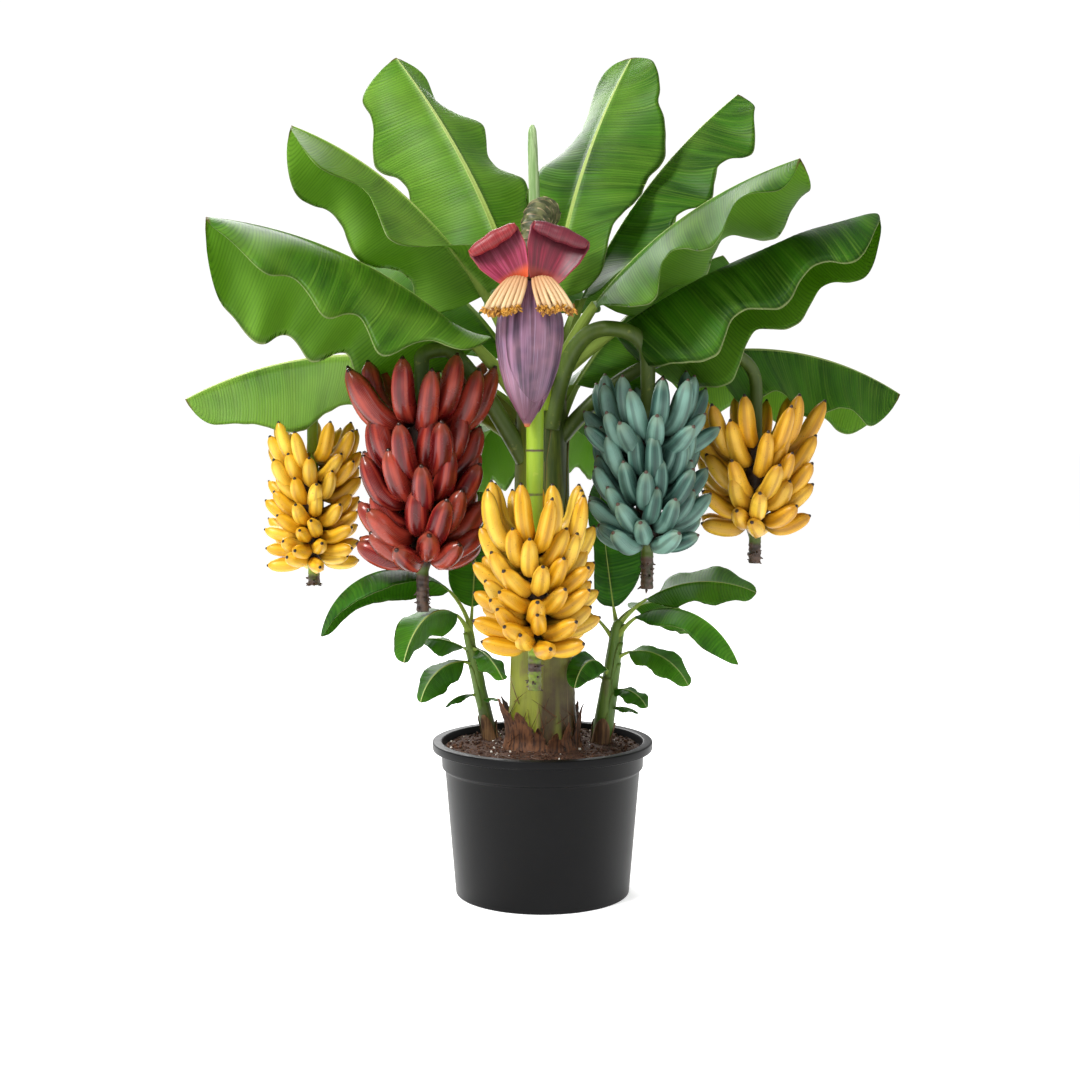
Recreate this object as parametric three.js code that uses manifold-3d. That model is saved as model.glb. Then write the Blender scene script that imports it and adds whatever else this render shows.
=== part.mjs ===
// A dwarf banana plant in a nursery pot: main stem, arching leaves, five bunches of fruit on
// their stalks, a hanging flower bud and two suckers. Millimetres, +Z up. The origin is the
// middle of the pot's flat underside, and the plant's front faces -Y.

import * as THREE from 'three';
import { mergeVertices } from 'three/addons/utils/BufferGeometryUtils.js';
import Module from 'manifold-3d';

const wasm = await Module();
wasm.setup();

// ---------------------------------------------------------------- driving dimensions

const GAP = 0.3; // air left between neighbouring solids
const TOUCH = 1e-4; // cubic millimetres shared by solids that count as touching
const POT_SIDES = 24;

const POT = {
  height: 245,
  footRadius: 138.5,
  stepRadius: 155,
  stepHeight: 200,
  bandRadius: 160,
  lipRadius: 175,
  lipHeight: 14,
  mouthRadius: 159.5,
  wall: 3,
  edge: 3,
};

const SOIL_LEVEL = 235;
const SOIL_DOME = 3;

// Height and radius of the main stem, from its flat cut on the soil to the top of its sheaths.
const STEM = {
  sides: 12,
  heights: [235.6, 252, 300, 450, 620, 780, 850],
  radii: [63, 57, 53, 47, 40, 34, 26],
  lobe: 0.04,
};

// Each sucker leans by so many millimetres for each millimetre of height.
const SUCKER_LEFT = { foot: [-84, 60], lean: [-0.21, 0], top: 412, radii: [13, 10, 7] };
const SUCKER_RIGHT = { foot: [94, 30], lean: [0.14, 0], top: 428, radii: [17, 13, 9] };
const SUCKER_FOOT = 235.6;

// Half thickness of a leaf blade, the radius of its rib at the foot, neck and tip, and whether
// each half of the blade has a bend down its middle.
const CROWN_RIB = { blade: 1.2, foot: 13, neck: 7.5, tip: 1.6, bentHalves: true };
const SUCKER_RIB = { blade: 0.9, foot: 5, neck: 3, tip: 1, bentHalves: false };
const CROWN_STEPS = { stalk: 2, blade: 12 };
const SUCKER_STEPS = { stalk: 1, blade: 7 };

// A leaf's section. middle is where each half bends, from 0 at the rib to 1 at the margin, in the
// stalk and then in the blade. rise, drop and crest are heights in the stalk, in rib radii. The
// halves open over the share opening of the blade, and wave fully once they are waveFrom of the
// full width. tipShare and baseShare are how much of the blade its round ends take.
const SECTION = {
  middle: [0.72, 0.5],
  rise: 0.55,
  drop: 0.75,
  crest: 0.6,
  opening: 0.15,
  waveFrom: 0.35,
  baseShare: 0.16,
  tipShare: 0.22,
  tipBluntness: 2.4,
};

// A leaf that bends more than this from foot to tip is made in two pieces that meet at its neck.
const SPLIT_BEND = 65;

// Leaves. foot is the height where the stalk leaves the stem and heading its compass direction,
// with 0 along +X and 90 along +Y. The rib starts at the angle rise above level and has turned
// down by droop at its tip, late where bend is over 1. turn, where given, swings the heading.
// petiole and blade are lengths and width is the full width. The blade rolls about its rib by
// roll, and by twist more at the tip. Its left and right halves start at the angle stand below the
// leaf's plane, go over to fold, and curl by curl towards the margin. wave is the height of the
// margin's waves, their number, and the phase of each side.
const CROWN_LEAVES = [
  {
    name: 'leaf_upper_left',
    foot: 815, heading: 146, rise: 94, droop: 46, bend: 0.5, petiole: 145, blade: 455, width: 228,
    roll: 22, twist: -34, stand: [-30, 5], fold: [45, 0], curl: [50, 5], wave: [15, 3.4, 149, 305],
  },
  {
    name: 'leaf_upper_right',
    foot: 820, heading: 50, rise: 101, droop: 50, bend: 0.55, petiole: 125, blade: 450, width: 208,
    roll: 12, twist: -5, stand: [30, 0], fold: [1, 12], curl: [9, 32], wave: [32, 1.4, 240, 350],
  },
  {
    name: 'leaf_left_high',
    foot: 805, heading: 191, rise: 69, droop: 50, bend: 1.3, petiole: 156, blade: 396, width: 210,
    roll: -33, twist: -40, stand: [-70, 20], fold: [100, 37], curl: [-10, -6], wave: [32, 2.2, 298, 257],
  },
  {
    name: 'leaf_left_middle',
    foot: 767, heading: 198, rise: 56, droop: 52, bend: 1, petiole: 126, blade: 463, width: 325,
    roll: -28, twist: -45, stand: [-16, 10], fold: [75, 0], curl: [38, 30], wave: [27, 3.8, 188, 344],
  },
  {
    name: 'leaf_left_low',
    foot: 741, heading: 152, rise: 51, droop: 80, bend: 0.72, petiole: 175, blade: 440, width: 208,
    turn: 38, roll: 3, twist: -2, stand: [50, 0], fold: [70, 20], curl: [0, 25], wave: [17, 2, 198, 191],
  },
  {
    name: 'leaf_right_rear',
    foot: 790, heading: 30, rise: 90, droop: 54, bend: 0.55, petiole: 158, blade: 464, width: 204,
    roll: 0, twist: 0, stand: [40, -20], fold: [55, 27], curl: [20, 6], wave: [14, 3.7, 0, 300],
  },
  {
    name: 'leaf_right_high',
    foot: 810, heading: -24, rise: 76, droop: 61, bend: 0.7, petiole: 141, blade: 386, width: 290,
    roll: -8, twist: 19, stand: [51, 19], fold: [27, 34], curl: [-22, 3], wave: [18, 2.7, 317, 21],
  },
  {
    name: 'leaf_right_middle',
    foot: 822, heading: -5, rise: 40, droop: 29, bend: 1.1, petiole: 110, blade: 446, width: 320,
    roll: 1, twist: 31, stand: [3, 15], fold: [95, 12], curl: [45, 74], wave: [16, 3.3, 298, 321],
  },
  {
    name: 'leaf_right_low',
    foot: 720, heading: 22, rise: 50, droop: 83, bend: 0.94, petiole: 218, blade: 418, width: 228,
    turn: -18, roll: 0, twist: 9, stand: [18, -14], fold: [60, 55], curl: [-2, 5], wave: [17, 2.8, 52, 28],
  },
  {
    name: 'leaf_rear_left',
    foot: 775, heading: 134, rise: 62, droop: 62, bend: 1, petiole: 90, blade: 420, width: 200,
    roll: 0, twist: 0, stand: [0, 0], fold: [45, 45], curl: [20, 20], wave: [14, 3, 0, 130],
  },
  {
    name: 'leaf_rear_right',
    foot: 745, heading: 36, rise: 63, droop: 48, bend: 1, petiole: 70, blade: 390, width: 220,
    roll: 0, twist: 0, stand: [0, 0], fold: [35, 35], curl: [20, 20], wave: [12, 3, 60, 200],
  },
  {
    name: 'leaf_rear_high',
    foot: 800, heading: 92, rise: 70, droop: 72, bend: 1, petiole: 140, blade: 440, width: 230,
    roll: 0, twist: 0, stand: [-20, -20], fold: [40, 40], curl: [20, 20], wave: [15, 3, 100, 240],
  },
  {
    name: 'leaf_rear_low_left',
    foot: 700, heading: 112, rise: 42, droop: 90, bend: 0.9, petiole: 90, blade: 400, width: 260,
    roll: 0, twist: 0, stand: [10, 10], fold: [70, 70], curl: [20, 20], wave: [14, 3, 30, 180],
  },
  {
    name: 'leaf_rear_low_right',
    foot: 684, heading: 66, rise: 46, droop: 88, bend: 1.0, petiole: 90, blade: 380, width: 250,
    roll: 0, twist: 0, stand: [20, 20], fold: [68, 68], curl: [14, 14], wave: [10, 3, 60, 210],
  },
];

const LEFT_SUCKER_LEAVES = [
  {
    name: 'sucker_left_leaf_long',
    foot: 375, heading: 201, rise: 91, droop: 172, bend: 1.08, petiole: 112, blade: 275, width: 88,
    roll: -24, twist: -12, stand: [23, 40], fold: [42, 59], curl: [17, 66], wave: [6, 1.2, 32, 100],
  },
  {
    name: 'sucker_left_leaf_nodding',
    foot: 404, heading: 240, rise: 64, droop: 133, bend: 0.9, petiole: 55, blade: 180, width: 82,
    roll: 15, twist: -9, stand: [17, 19], fold: [77, 22], curl: [40, -8], wave: [4, 2.2, 162, 356],
  },
  {
    name: 'sucker_left_leaf_hidden',
    foot: 371, heading: 159, rise: 46, droop: 55, bend: 0.75, petiole: 20, blade: 75, width: 52,
    roll: 5, twist: 6, stand: [20, 20], fold: [30, 22], curl: [10, 0], wave: [5, 1.2, 93, 168],
  },
  {
    name: 'sucker_left_leaf_broad',
    foot: 351, heading: 211, rise: 53, droop: 130, bend: 0.67, petiole: 26, blade: 108, width: 60,
    roll: 15, twist: 0, stand: [22, 18], fold: [57, 20], curl: [28, -11], wave: [3, 1.8, 204, 114],
  },
  {
    name: 'sucker_left_leaf_inner',
    foot: 382, heading: -58, rise: 14, droop: 59, bend: 0.7, petiole: 22, blade: 88, width: 44,
    roll: 0, twist: 0, stand: [19, 20], fold: [19, 18], curl: [7, 8], wave: [5, 2, 100, 225],
  },
  {
    name: 'sucker_left_leaf_upright',
    foot: 390, heading: 75, rise: 80, droop: 5, bend: 1, petiole: 60, blade: 190, width: 80,
    roll: 0, twist: 0, stand: [-20, -20], fold: [-10, -10], curl: [-10, -10], wave: [5, 2, 0, 100],
  },
];

const RIGHT_SUCKER_LEAVES = [
  {
    name: 'sucker_right_leaf_upright',
    foot: 416, heading: 119, rise: 72, droop: -9, bend: 1.1, petiole: 38, blade: 208, width: 106,
    roll: -10, twist: 0, stand: [16, 24], fold: [-14, -16], curl: [-28, -18], wave: [6, 1.2, 282, 273],
  },
  {
    name: 'sucker_right_leaf_spreading',
    foot: 420, heading: -4, rise: 58, droop: 83, bend: 0.92, petiole: 66, blade: 183, width: 96,
    roll: -2, twist: -11, stand: [29, 19], fold: [-10, 21], curl: [-4, 10], wave: [4, 2.5, 213, 78],
  },
  {
    name: 'sucker_right_leaf_long',
    foot: 392, heading: -36, rise: 68, droop: 134, bend: 0.9, petiole: 66, blade: 220, width: 92,
    roll: 10, twist: 8, stand: [24, 24], fold: [40, 34], curl: [10, 7], wave: [4, 2, 160, 61],
  },
  {
    name: 'sucker_right_leaf_bright',
    foot: 421, heading: 34, rise: 67, droop: 120, bend: 0.65, petiole: 44, blade: 162, width: 100,
    roll: -8, twist: -12, stand: [20, 24], fold: [19, 31], curl: [-9, 8], wave: [3, 2.2, 27, 237],
  },
  {
    name: 'sucker_right_leaf_broad',
    foot: 359, heading: -26, rise: 67, droop: 130, bend: 0.7, petiole: 40, blade: 121, width: 60,
    roll: -11, twist: 3, stand: [16, 22], fold: [8, 25], curl: [-15, 9], wave: [3, 2.2, 4, 153],
  },
  {
    name: 'sucker_right_leaf_small',
    foot: 313, heading: -34, rise: 45, droop: 105, bend: 0.85, petiole: 17, blade: 68, width: 46,
    roll: -4, twist: -4, stand: [16, 16], fold: [10, 14], curl: [0, 5], wave: [3, 2.1, 280, 176],
  },
  {
    name: 'sucker_right_leaf_inner',
    foot: 336, heading: 240, rise: 57, droop: 127, bend: 1.26, petiole: 29, blade: 118, width: 46,
    roll: 17, twist: -5, stand: [20, 11], fold: [29, 0], curl: [9, -20], wave: [4, 1.1, 58, 0],
  },
];

// Bunches of fruit: where the bunch hangs, the heights of its top and bottom and of the end of
// its stub, its radius, and where on its height it is widest. The stalk leaves the stem at the
// height foot, on the bearing seat, climbs at the angle climb and levels off at the height apex
// over the point over.
const BUNCHES = [
  {
    name: 'bunch_front', at: [-12, -148], top: 664, bottom: 400, stub: 349, radius: 94, widest: 0.55,
    foot: 772, seat: 270, climb: 75, apex: 836, over: [-7, -94], stalkRadius: 13,
  },
  {
    name: 'bunch_red', at: [-187, -38], top: 845, bottom: 506, stub: 455, radius: 110, widest: 0.45,
    foot: 690, seat: 202, climb: 60, apex: 862, over: [-150, -34], stalkRadius: 12,
  },
  {
    name: 'bunch_blue', at: [161, -70], top: 838, bottom: 541, stub: 494, radius: 98, widest: 0.5,
    foot: 740, seat: -66, climb: 80, apex: 893, over: [96, -74], stalkRadius: 12,
  },
  {
    name: 'bunch_gold_right', at: [337, 14], top: 800, bottom: 554, stub: 526, radius: 80, widest: 0.6,
    foot: 725, seat: -12, climb: 52, apex: 860, over: [262, -8], stalkRadius: 10,
  },
  {
    name: 'bunch_yellow_left', at: [-378, 130], top: 744, bottom: 494, stub: 479, radius: 76, widest: 0.5,
    foot: 705, seat: 150, climb: 40, apex: 806, over: [-305, 152], stalkRadius: 9,
  },
];

const BUNCH_SIDES = 10;
const BUNCH_RINGS = 6;
const BUNCH_LOBE = 0.05;
const STUB_RADIUS = 11;

// The flower: its stalk climbs behind the bud, bends over at the apex and hangs to the neck.
const FLOWER = {
  seat: [8, -12],
  foot: 850.6,
  over: [4, -118],
  apex: 1062,
  neck: [-18, -190, 958],
  climb: 85,
  riseRadius: 12,
  hangRadius: 19,
};

const BUD = {
  axis: [[-18.5, -190, 956.5], [-23, -190, 745]],
  profile: [
    [0, 15], [0.06, 24], [0.14, 38], [0.26, 47], [0.4, 48],
    [0.58, 42], [0.75, 31], [0.88, 18], [0.96, 9], [1, 3],
  ],
  sides: 12,
  lobe: 0.03,
};

// A bract is a strap that climbs from its base, leaning sideways, and curls forward at its tip.
const BRACTS = [
  { name: 'bract_left', base: [-44, -214, 964], lean: 33, length: 112, width: [44, 66] },
  { name: 'bract_right', base: [8, -214, 964], lean: -22, length: 118, width: [48, 80] },
];
const BRACT = { thickness: 3, rise: 88, curl: 230, lateness: 3, cup: 9, steps: 9 };

// A hand of flowers is a fan from a narrow top to a wide fringe.
const FLOWER_HANDS = [
  { name: 'flower_hand_left', top: [-36, -222, 958], end: [-58, -243, 917] },
  { name: 'flower_hand_right', top: [-1, -222, 958], end: [21, -243, 920] },
];
const HAND = { topWidth: 15, endWidth: 25, topDepth: 5, endDepth: 9, sides: 8, steps: 3 };

const ROLLED_LEAF = {
  path: [[-9, 11, 850.6], [-11, 14, 960], [-13, 18, 1090], [-16, 20, 1212]],
  radii: [10, 9.5, 9, 8],
};

// ---------------------------------------------------------------- finishes

const finish = (color, roughness) => new THREE.MeshStandardMaterial({ color, roughness, metalness: 0 });

const potPlastic = finish(0x17181a, 0.4);
const soilFinish = finish(0x3a231a, 0.95);
const stemFinish = finish(0x7d8a3c, 0.55);
const stalkFinish = finish(0x7f9c3a, 0.5);
const leafFinish = finish(0x3f8f2f, 0.45);
const sproutFinish = finish(0xa9c98a, 0.5);
const budFinish = finish(0x8a5a72, 0.5);
const bractFinish = finish(0x8c1f35, 0.45);
const flowerFinish = finish(0xe6c79a, 0.6);
const fruitFinishes = {
  bunch_front: finish(0xf0c83a, 0.45),
  bunch_red: finish(0x8e2f22, 0.4),
  bunch_blue: finish(0x6f9a90, 0.5),
  bunch_gold_right: finish(0xe0a022, 0.45),
  bunch_yellow_left: finish(0xecc02e, 0.45),
};

// ---------------------------------------------------------------- geometry helpers

const radians = THREE.MathUtils.degToRad;
const { lerp, clamp } = THREE.MathUtils;
const vector = (values) => new THREE.Vector3(...values);

// Value at x of a line of straight stretches through (xs, ys).
function between(x, xs, ys) {
  const last = xs.length - 1;
  if (x <= xs[0]) return ys[0];
  if (x >= xs[last]) return ys[last];
  const i = xs.findIndex((value) => value > x);
  return lerp(ys[i - 1], ys[i], (x - xs[i - 1]) / (xs[i] - xs[i - 1]));
}

const stemRadius = (height) => between(height, STEM.heights, STEM.radii);

function signedVolume(positions, index) {
  const a = new THREE.Vector3();
  const b = new THREE.Vector3();
  const c = new THREE.Vector3();
  let sum = 0;
  for (let i = 0; i < index.length; i += 3) {
    a.fromArray(positions, 3 * index[i]);
    b.fromArray(positions, 3 * index[i + 1]);
    c.fromArray(positions, 3 * index[i + 2]);
    sum += a.dot(b.cross(c));
  }
  return sum / 6;
}

// A flat end over a ring of points: a strip that zigzags between the ring's two sides.
function endCap(count) {
  const zigzag = (i) => (i % 2 === 0 ? i / 2 : count - (i + 1) / 2);
  const triangles = Array.from({ length: count - 2 }, (_, i) => [zigzag(i), zigzag(i + 1), zigzag(i + 2)]);
  return triangles.map((corners) => corners.sort((a, b) => a - b));
}

// A closed skin over a row of rings with equal numbers of points. A ring's first half is its upper
// face and its second half its under face. Their quads are split along the same slant, so the two
// faces of a thin twisted blade never pass through each other.
function loft(rings) {
  const count = rings[0].length;
  const last = (rings.length - 1) * count;
  const positions = rings.flat().flatMap((point) => point.toArray());
  const index = endCap(count).flatMap(([a, b, c]) => [c, b, a, last + a, last + b, last + c]);
  for (let start = 0; start < last; start += count) {
    for (let k = 0; k < count; k += 1) {
      const a = start + k;
      const b = start + ((k + 1) % count);
      if (k < count / 2) index.push(a, b, b + count, a, b + count, a + count);
      else index.push(a, b, a + count, b, b + count, a + count);
    }
  }
  if (signedVolume(positions, index) < 0) index.reverse();
  const geometry = new THREE.BufferGeometry();
  geometry.setAttribute('position', new THREE.Float32BufferAttribute(positions, 3));
  geometry.setIndex(index);
  return geometry;
}

// Rings of a round section along a curve.
function limb(path, radii, sides, steps) {
  const marks = radii.map((_, i) => i / (radii.length - 1));
  const rings = [];
  let across = new THREE.Vector3(1, 0, 0);
  for (let i = 0; i <= steps; i += 1) {
    const v = i / steps;
    const centre = path.getPoint(v);
    const along = path.getTangent(v);
    across = across.sub(along.clone().multiplyScalar(across.dot(along))).normalize();
    const up = along.clone().cross(across);
    const ring = [];
    for (let k = 0; k < sides; k += 1) {
      const angle = (2 * Math.PI * k) / sides;
      const radius = between(v, marks, radii);
      const point = centre.clone().addScaledVector(across, radius * Math.cos(angle));
      ring.push(point.addScaledVector(up, radius * Math.sin(angle)));
    }
    rings.push(ring);
    across = across.clone();
  }
  return loft(rings);
}

function ringAt(x, y, height, sides, radiusAt) {
  const ring = [];
  for (let k = 0; k < sides; k += 1) {
    const angle = (2 * Math.PI * k) / sides;
    const radius = radiusAt(angle);
    ring.push(new THREE.Vector3(x + radius * Math.cos(angle), y + radius * Math.sin(angle), height));
  }
  return ring;
}

// ---------------------------------------------------------------- solids that keep clear

const group = new THREE.Group();
const placed = [];

function toSolid(geometry) {
  const bare = geometry.clone();
  bare.deleteAttribute('normal');
  bare.deleteAttribute('uv');
  const merged = mergeVertices(bare, 1e-3);
  return new wasm.Manifold(new wasm.Mesh({
    numProp: 3,
    vertProperties: new Float32Array(merged.attributes.position.array),
    triVerts: new Uint32Array(merged.index.array),
  }));
}

function toGeometry(solid) {
  const mesh = solid.getMesh();
  const geometry = new THREE.BufferGeometry();
  geometry.setAttribute('position', new THREE.BufferAttribute(mesh.vertProperties, 3));
  geometry.setIndex(new THREE.BufferAttribute(mesh.triVerts, 1));
  return geometry;
}

// A solid thickened by shifting it both ways along each axis, to cut a gap into its neighbours.
function thickened(solid) {
  const shifts = [0, 1, 2].flatMap((axis) => [-1.5 * GAP, 1.5 * GAP].map((distance) => {
    const shift = [0, 0, 0];
    shift[axis] = distance;
    return solid.translate(shift);
  }));
  return wasm.Manifold.union([solid, ...shifts]);
}

function boxesMeet(a, b) {
  return a.min.every((low, i) => low <= b.max[i] && b.min[i] <= a.max[i]);
}

// Adds a named piece. Where it would run into a piece placed before, it is cut back to the gap,
// and its largest body is kept.
function place(name, geometry, material) {
  let solid = toSolid(geometry);
  let wasCut = false;
  for (const earlier of placed) {
    if (!boxesMeet(earlier.box, solid.boundingBox())) continue;
    if (solid.intersect(earlier.grown).volume() < TOUCH) continue;
    solid = solid.subtract(earlier.grown);
    wasCut = true;
  }
  if (wasCut) {
    const bodies = solid.decompose();
    solid = bodies.reduce((a, b) => (b.volume() > a.volume() ? b : a));
  }
  const shape = wasCut ? toGeometry(solid) : geometry;
  const mesh = new THREE.Mesh(shape, material);
  mesh.name = name;
  group.add(mesh);
  const grown = thickened(toSolid(geometry));
  placed.push({ name, grown, box: grown.boundingBox() });
}

// ---------------------------------------------------------------- pot and soil

function potProfile() {
  const { height, footRadius, stepRadius, stepHeight, bandRadius, lipRadius, lipHeight } = POT;
  const { mouthRadius, wall, edge } = POT;
  const lipFoot = height - lipHeight;
  const slope = (stepRadius - footRadius) / stepHeight;
  return [
    [0, 0],
    [footRadius - edge, 0],
    [footRadius, edge],
    [stepRadius, stepHeight],
    [bandRadius, stepHeight + edge],
    [bandRadius + 1, lipFoot],
    [lipRadius - 1, lipFoot],
    [lipRadius, lipFoot + edge],
    [lipRadius, height - edge],
    [lipRadius - edge, height],
    [mouthRadius, height],
    [stepRadius - wall, stepHeight],
    [footRadius - wall + slope * wall, wall],
    [0, wall],
  ].map(([x, y]) => new THREE.Vector2(x, y));
}

// Radius of the pot's inner face at a height.
function potInside(height) {
  const { stepHeight, stepRadius, footRadius, wall, mouthRadius } = POT;
  const slope = (stepRadius - footRadius) / stepHeight;
  const heights = [wall, stepHeight, POT.height];
  return between(height, heights, [footRadius - wall + slope * wall, stepRadius - wall, mouthRadius]);
}

function soilProfile() {
  const rimClear = 1.6;
  const foot = POT.wall + 2 * GAP;
  const radiusAt = (height) => potInside(height) - rimClear;
  return [
    [0, foot],
    [radiusAt(foot), foot],
    [radiusAt(POT.stepHeight), POT.stepHeight],
    [radiusAt(SOIL_LEVEL - SOIL_DOME), SOIL_LEVEL - SOIL_DOME],
    [radiusAt(SOIL_LEVEL) * 0.8, SOIL_LEVEL],
    [0, SOIL_LEVEL],
  ].map(([x, y]) => new THREE.Vector2(x, y));
}

// A closed lathe about the Z axis.
function turned(profile) {
  const lathe = new THREE.LatheGeometry(profile, POT_SIDES);
  lathe.deleteAttribute('normal');
  lathe.deleteAttribute('uv');
  lathe.rotateX(Math.PI / 2);
  const merged = mergeVertices(lathe, 1e-3);
  const index = [];
  const old = merged.index.array;
  for (let i = 0; i < old.length; i += 3) {
    const corners = [old[i], old[i + 1], old[i + 2]];
    if (new Set(corners).size === 3) index.push(...corners);
  }
  if (signedVolume(merged.attributes.position.array, index) < 0) index.reverse();
  merged.setIndex(index);
  return merged;
}

place('pot', turned(potProfile()), potPlastic);
place('potting_soil', turned(soilProfile()), soilFinish);

// ---------------------------------------------------------------- stems

// The stem is wrapped in leaf sheaths, so its section has three soft lobes that turn with height.
function mainStem() {
  const rings = STEM.heights.map((height, i) => {
    const turn = height / 180;
    const radiusAt = (angle) => STEM.radii[i] * (1 + STEM.lobe * Math.cos(3 * angle + turn));
    return ringAt(0, 0, height, STEM.sides, radiusAt);
  });
  return loft(rings);
}

function suckerPoint(sucker, height) {
  const climb = height - SUCKER_FOOT;
  return [sucker.foot[0] + sucker.lean[0] * climb, sucker.foot[1] + sucker.lean[1] * climb, height];
}

function suckerStem(sucker) {
  const sides = 10;
  const rings = sucker.radii.map((radius, i) => {
    const v = i / (sucker.radii.length - 1);
    const [x, y, height] = suckerPoint(sucker, lerp(SUCKER_FOOT, sucker.top, v));
    return ringAt(x, y, height, sides, () => radius);
  });
  return loft(rings);
}

place('main_stem', mainStem(), stemFinish);
place('sucker_left_stem', suckerStem(SUCKER_LEFT), stemFinish);
place('sucker_right_stem', suckerStem(SUCKER_RIGHT), stemFinish);

// ---------------------------------------------------------------- arching stalks

// The first half of a stalk climbs at an angle and levels off at the apex: a curve drawn by its
// start, the corner where the climb would reach the apex's height, and the apex.
function climbingHalf(start, apex, climb) {
  const out = new THREE.Vector2(apex[0] - start[0], apex[1] - start[1]);
  const reach = Math.min(out.length(), (apex[2] - start[2]) / Math.tan(radians(climb)));
  out.setLength(reach);
  const corner = [start[0] + out.x, start[1] + out.y, apex[2]];
  return new THREE.QuadraticBezierCurve3(vector(start), vector(corner), vector(apex));
}

// The second half comes down from level at the apex to upright at its end.
function hangingHalf(apex, end) {
  const corner = [end[0], end[1], apex[2]];
  return new THREE.QuadraticBezierCurve3(vector(apex), vector(corner), vector(end));
}

function archedStalk(name, start, apex, end, climb, radii) {
  const sides = 7;
  const steps = 4;
  const joint = GAP;
  const towardsEnd = new THREE.Vector2(end[0] - apex[0], end[1] - apex[1]).normalize();
  const before = [apex[0] - joint * towardsEnd.x, apex[1] - joint * towardsEnd.y, apex[2]];
  const after = [apex[0] + joint * towardsEnd.x, apex[1] + joint * towardsEnd.y, apex[2]];
  place(`${name}_rising`, limb(climbingHalf(start, before, climb), radii.rise, sides, steps), stalkFinish);
  place(`${name}_hanging`, limb(hangingHalf(after, end), radii.hang, sides, steps), stalkFinish);
}

function flowerStalk() {
  const { seat, foot, over, apex, neck, climb, riseRadius, hangRadius } = FLOWER;
  const radii = { rise: [riseRadius, riseRadius, hangRadius], hang: [hangRadius, hangRadius, 15] };
  archedStalk('flower_stalk', [...seat, foot], [...over, apex], neck, climb, radii);
}

function bunchStalk(bunch) {
  const [x, y] = bunch.at;
  const bearing = radians(bunch.seat);
  const seat = 0.8 * stemRadius(bunch.foot);
  const start = [seat * Math.cos(bearing), seat * Math.sin(bearing), bunch.foot];
  const apex = [...bunch.over, bunch.apex];
  const radius = bunch.stalkRadius;
  const radii = { rise: [radius * 1.25, radius], hang: [radius, radius] };
  archedStalk(`${bunch.name}_stalk`, start, apex, [x, y, bunch.top + 3 * GAP], bunch.climb, radii);
}

flowerStalk();
BUNCHES.forEach(bunchStalk);

// ---------------------------------------------------------------- bunches of fruit

// A barrel of fruit round the stalk, uneven where the hands of fruit stand out, with the bare
// stub of the stalk below it.
function bunchSolid(bunch) {
  const [x, y] = bunch.at;
  const neckRadius = bunch.stalkRadius + 4;
  const rings = [ringAt(x, y, bunch.top, BUNCH_SIDES, () => neckRadius)];
  for (let i = 1; i <= BUNCH_RINGS; i += 1) {
    const v = i / (BUNCH_RINGS + 1);
    const spread = v < bunch.widest ? v / bunch.widest : (1 - v) / (1 - bunch.widest);
    const barrel = bunch.radius * (1 - 0.9 * (1 - spread) ** 3.2);
    const radiusAt = (angle) => barrel * (1 + BUNCH_LOBE * Math.cos(5 * angle + i * Math.PI));
    rings.push(ringAt(x, y, lerp(bunch.top, bunch.bottom, v), BUNCH_SIDES, radiusAt));
  }
  rings.push(ringAt(x, y, bunch.bottom, BUNCH_SIDES, () => STUB_RADIUS + 3));
  rings.push(ringAt(x, y, bunch.stub, BUNCH_SIDES, () => STUB_RADIUS));
  return loft(rings);
}

for (const bunch of BUNCHES) {
  place(bunch.name, bunchSolid(bunch), fruitFinishes[bunch.name]);
}

// ---------------------------------------------------------------- flower

function budSolid() {
  const [top, tip] = BUD.axis.map(vector);
  const rings = BUD.profile.map(([v, radius]) => {
    const centre = top.clone().lerp(tip, v);
    const radiusAt = (angle) => radius * (1 + BUD.lobe * Math.cos(3 * angle));
    return ringAt(centre.x, centre.y, centre.z, BUD.sides, radiusAt);
  });
  return loft(rings);
}

function bractSolid(bract) {
  const lean = radians(bract.lean);
  const across = new THREE.Vector3(Math.cos(lean), 0, Math.sin(lean));
  const upward = new THREE.Vector3(-Math.sin(lean), 0, Math.cos(lean));
  const outward = new THREE.Vector3(0, -1, 0);
  const centre = vector(bract.base);
  const rings = [];
  for (let i = 0; i <= BRACT.steps; i += 1) {
    const v = i / BRACT.steps;
    const angle = radians(BRACT.rise - BRACT.curl * v ** BRACT.lateness);
    const along = outward.clone().multiplyScalar(Math.cos(angle)).addScaledVector(upward, Math.sin(angle));
    const inner = across.clone().cross(along).normalize();
    const half = lerp(bract.width[0], bract.width[1], Math.min(1, 1.6 * v)) / 2;
    const lift = BRACT.cup * (1 - v) ** 0.5;
    const point = (s, side) => centre.clone()
      .addScaledVector(across, s * half)
      .addScaledVector(inner, lift * s * s + (side * BRACT.thickness) / 2);
    rings.push([point(-1, 1), point(0, 1), point(1, 1), point(1, -1), point(0, -1), point(-1, -1)]);
    centre.addScaledVector(along, bract.length / BRACT.steps);
  }
  return loft(rings);
}

function handSolid(hand) {
  const top = vector(hand.top);
  const end = vector(hand.end);
  const rings = [];
  for (let i = 0; i <= HAND.steps; i += 1) {
    const v = i / HAND.steps;
    const centre = top.clone().lerp(end, v);
    const width = lerp(HAND.topWidth, HAND.endWidth, v);
    const depth = lerp(HAND.topDepth, HAND.endDepth, v);
    const ring = [];
    for (let k = 0; k < HAND.sides; k += 1) {
      const angle = (2 * Math.PI * k) / HAND.sides;
      ring.push(centre.clone().add(new THREE.Vector3(width * Math.cos(angle), depth * Math.sin(angle), 0)));
    }
    rings.push(ring);
  }
  return loft(rings);
}

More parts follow.
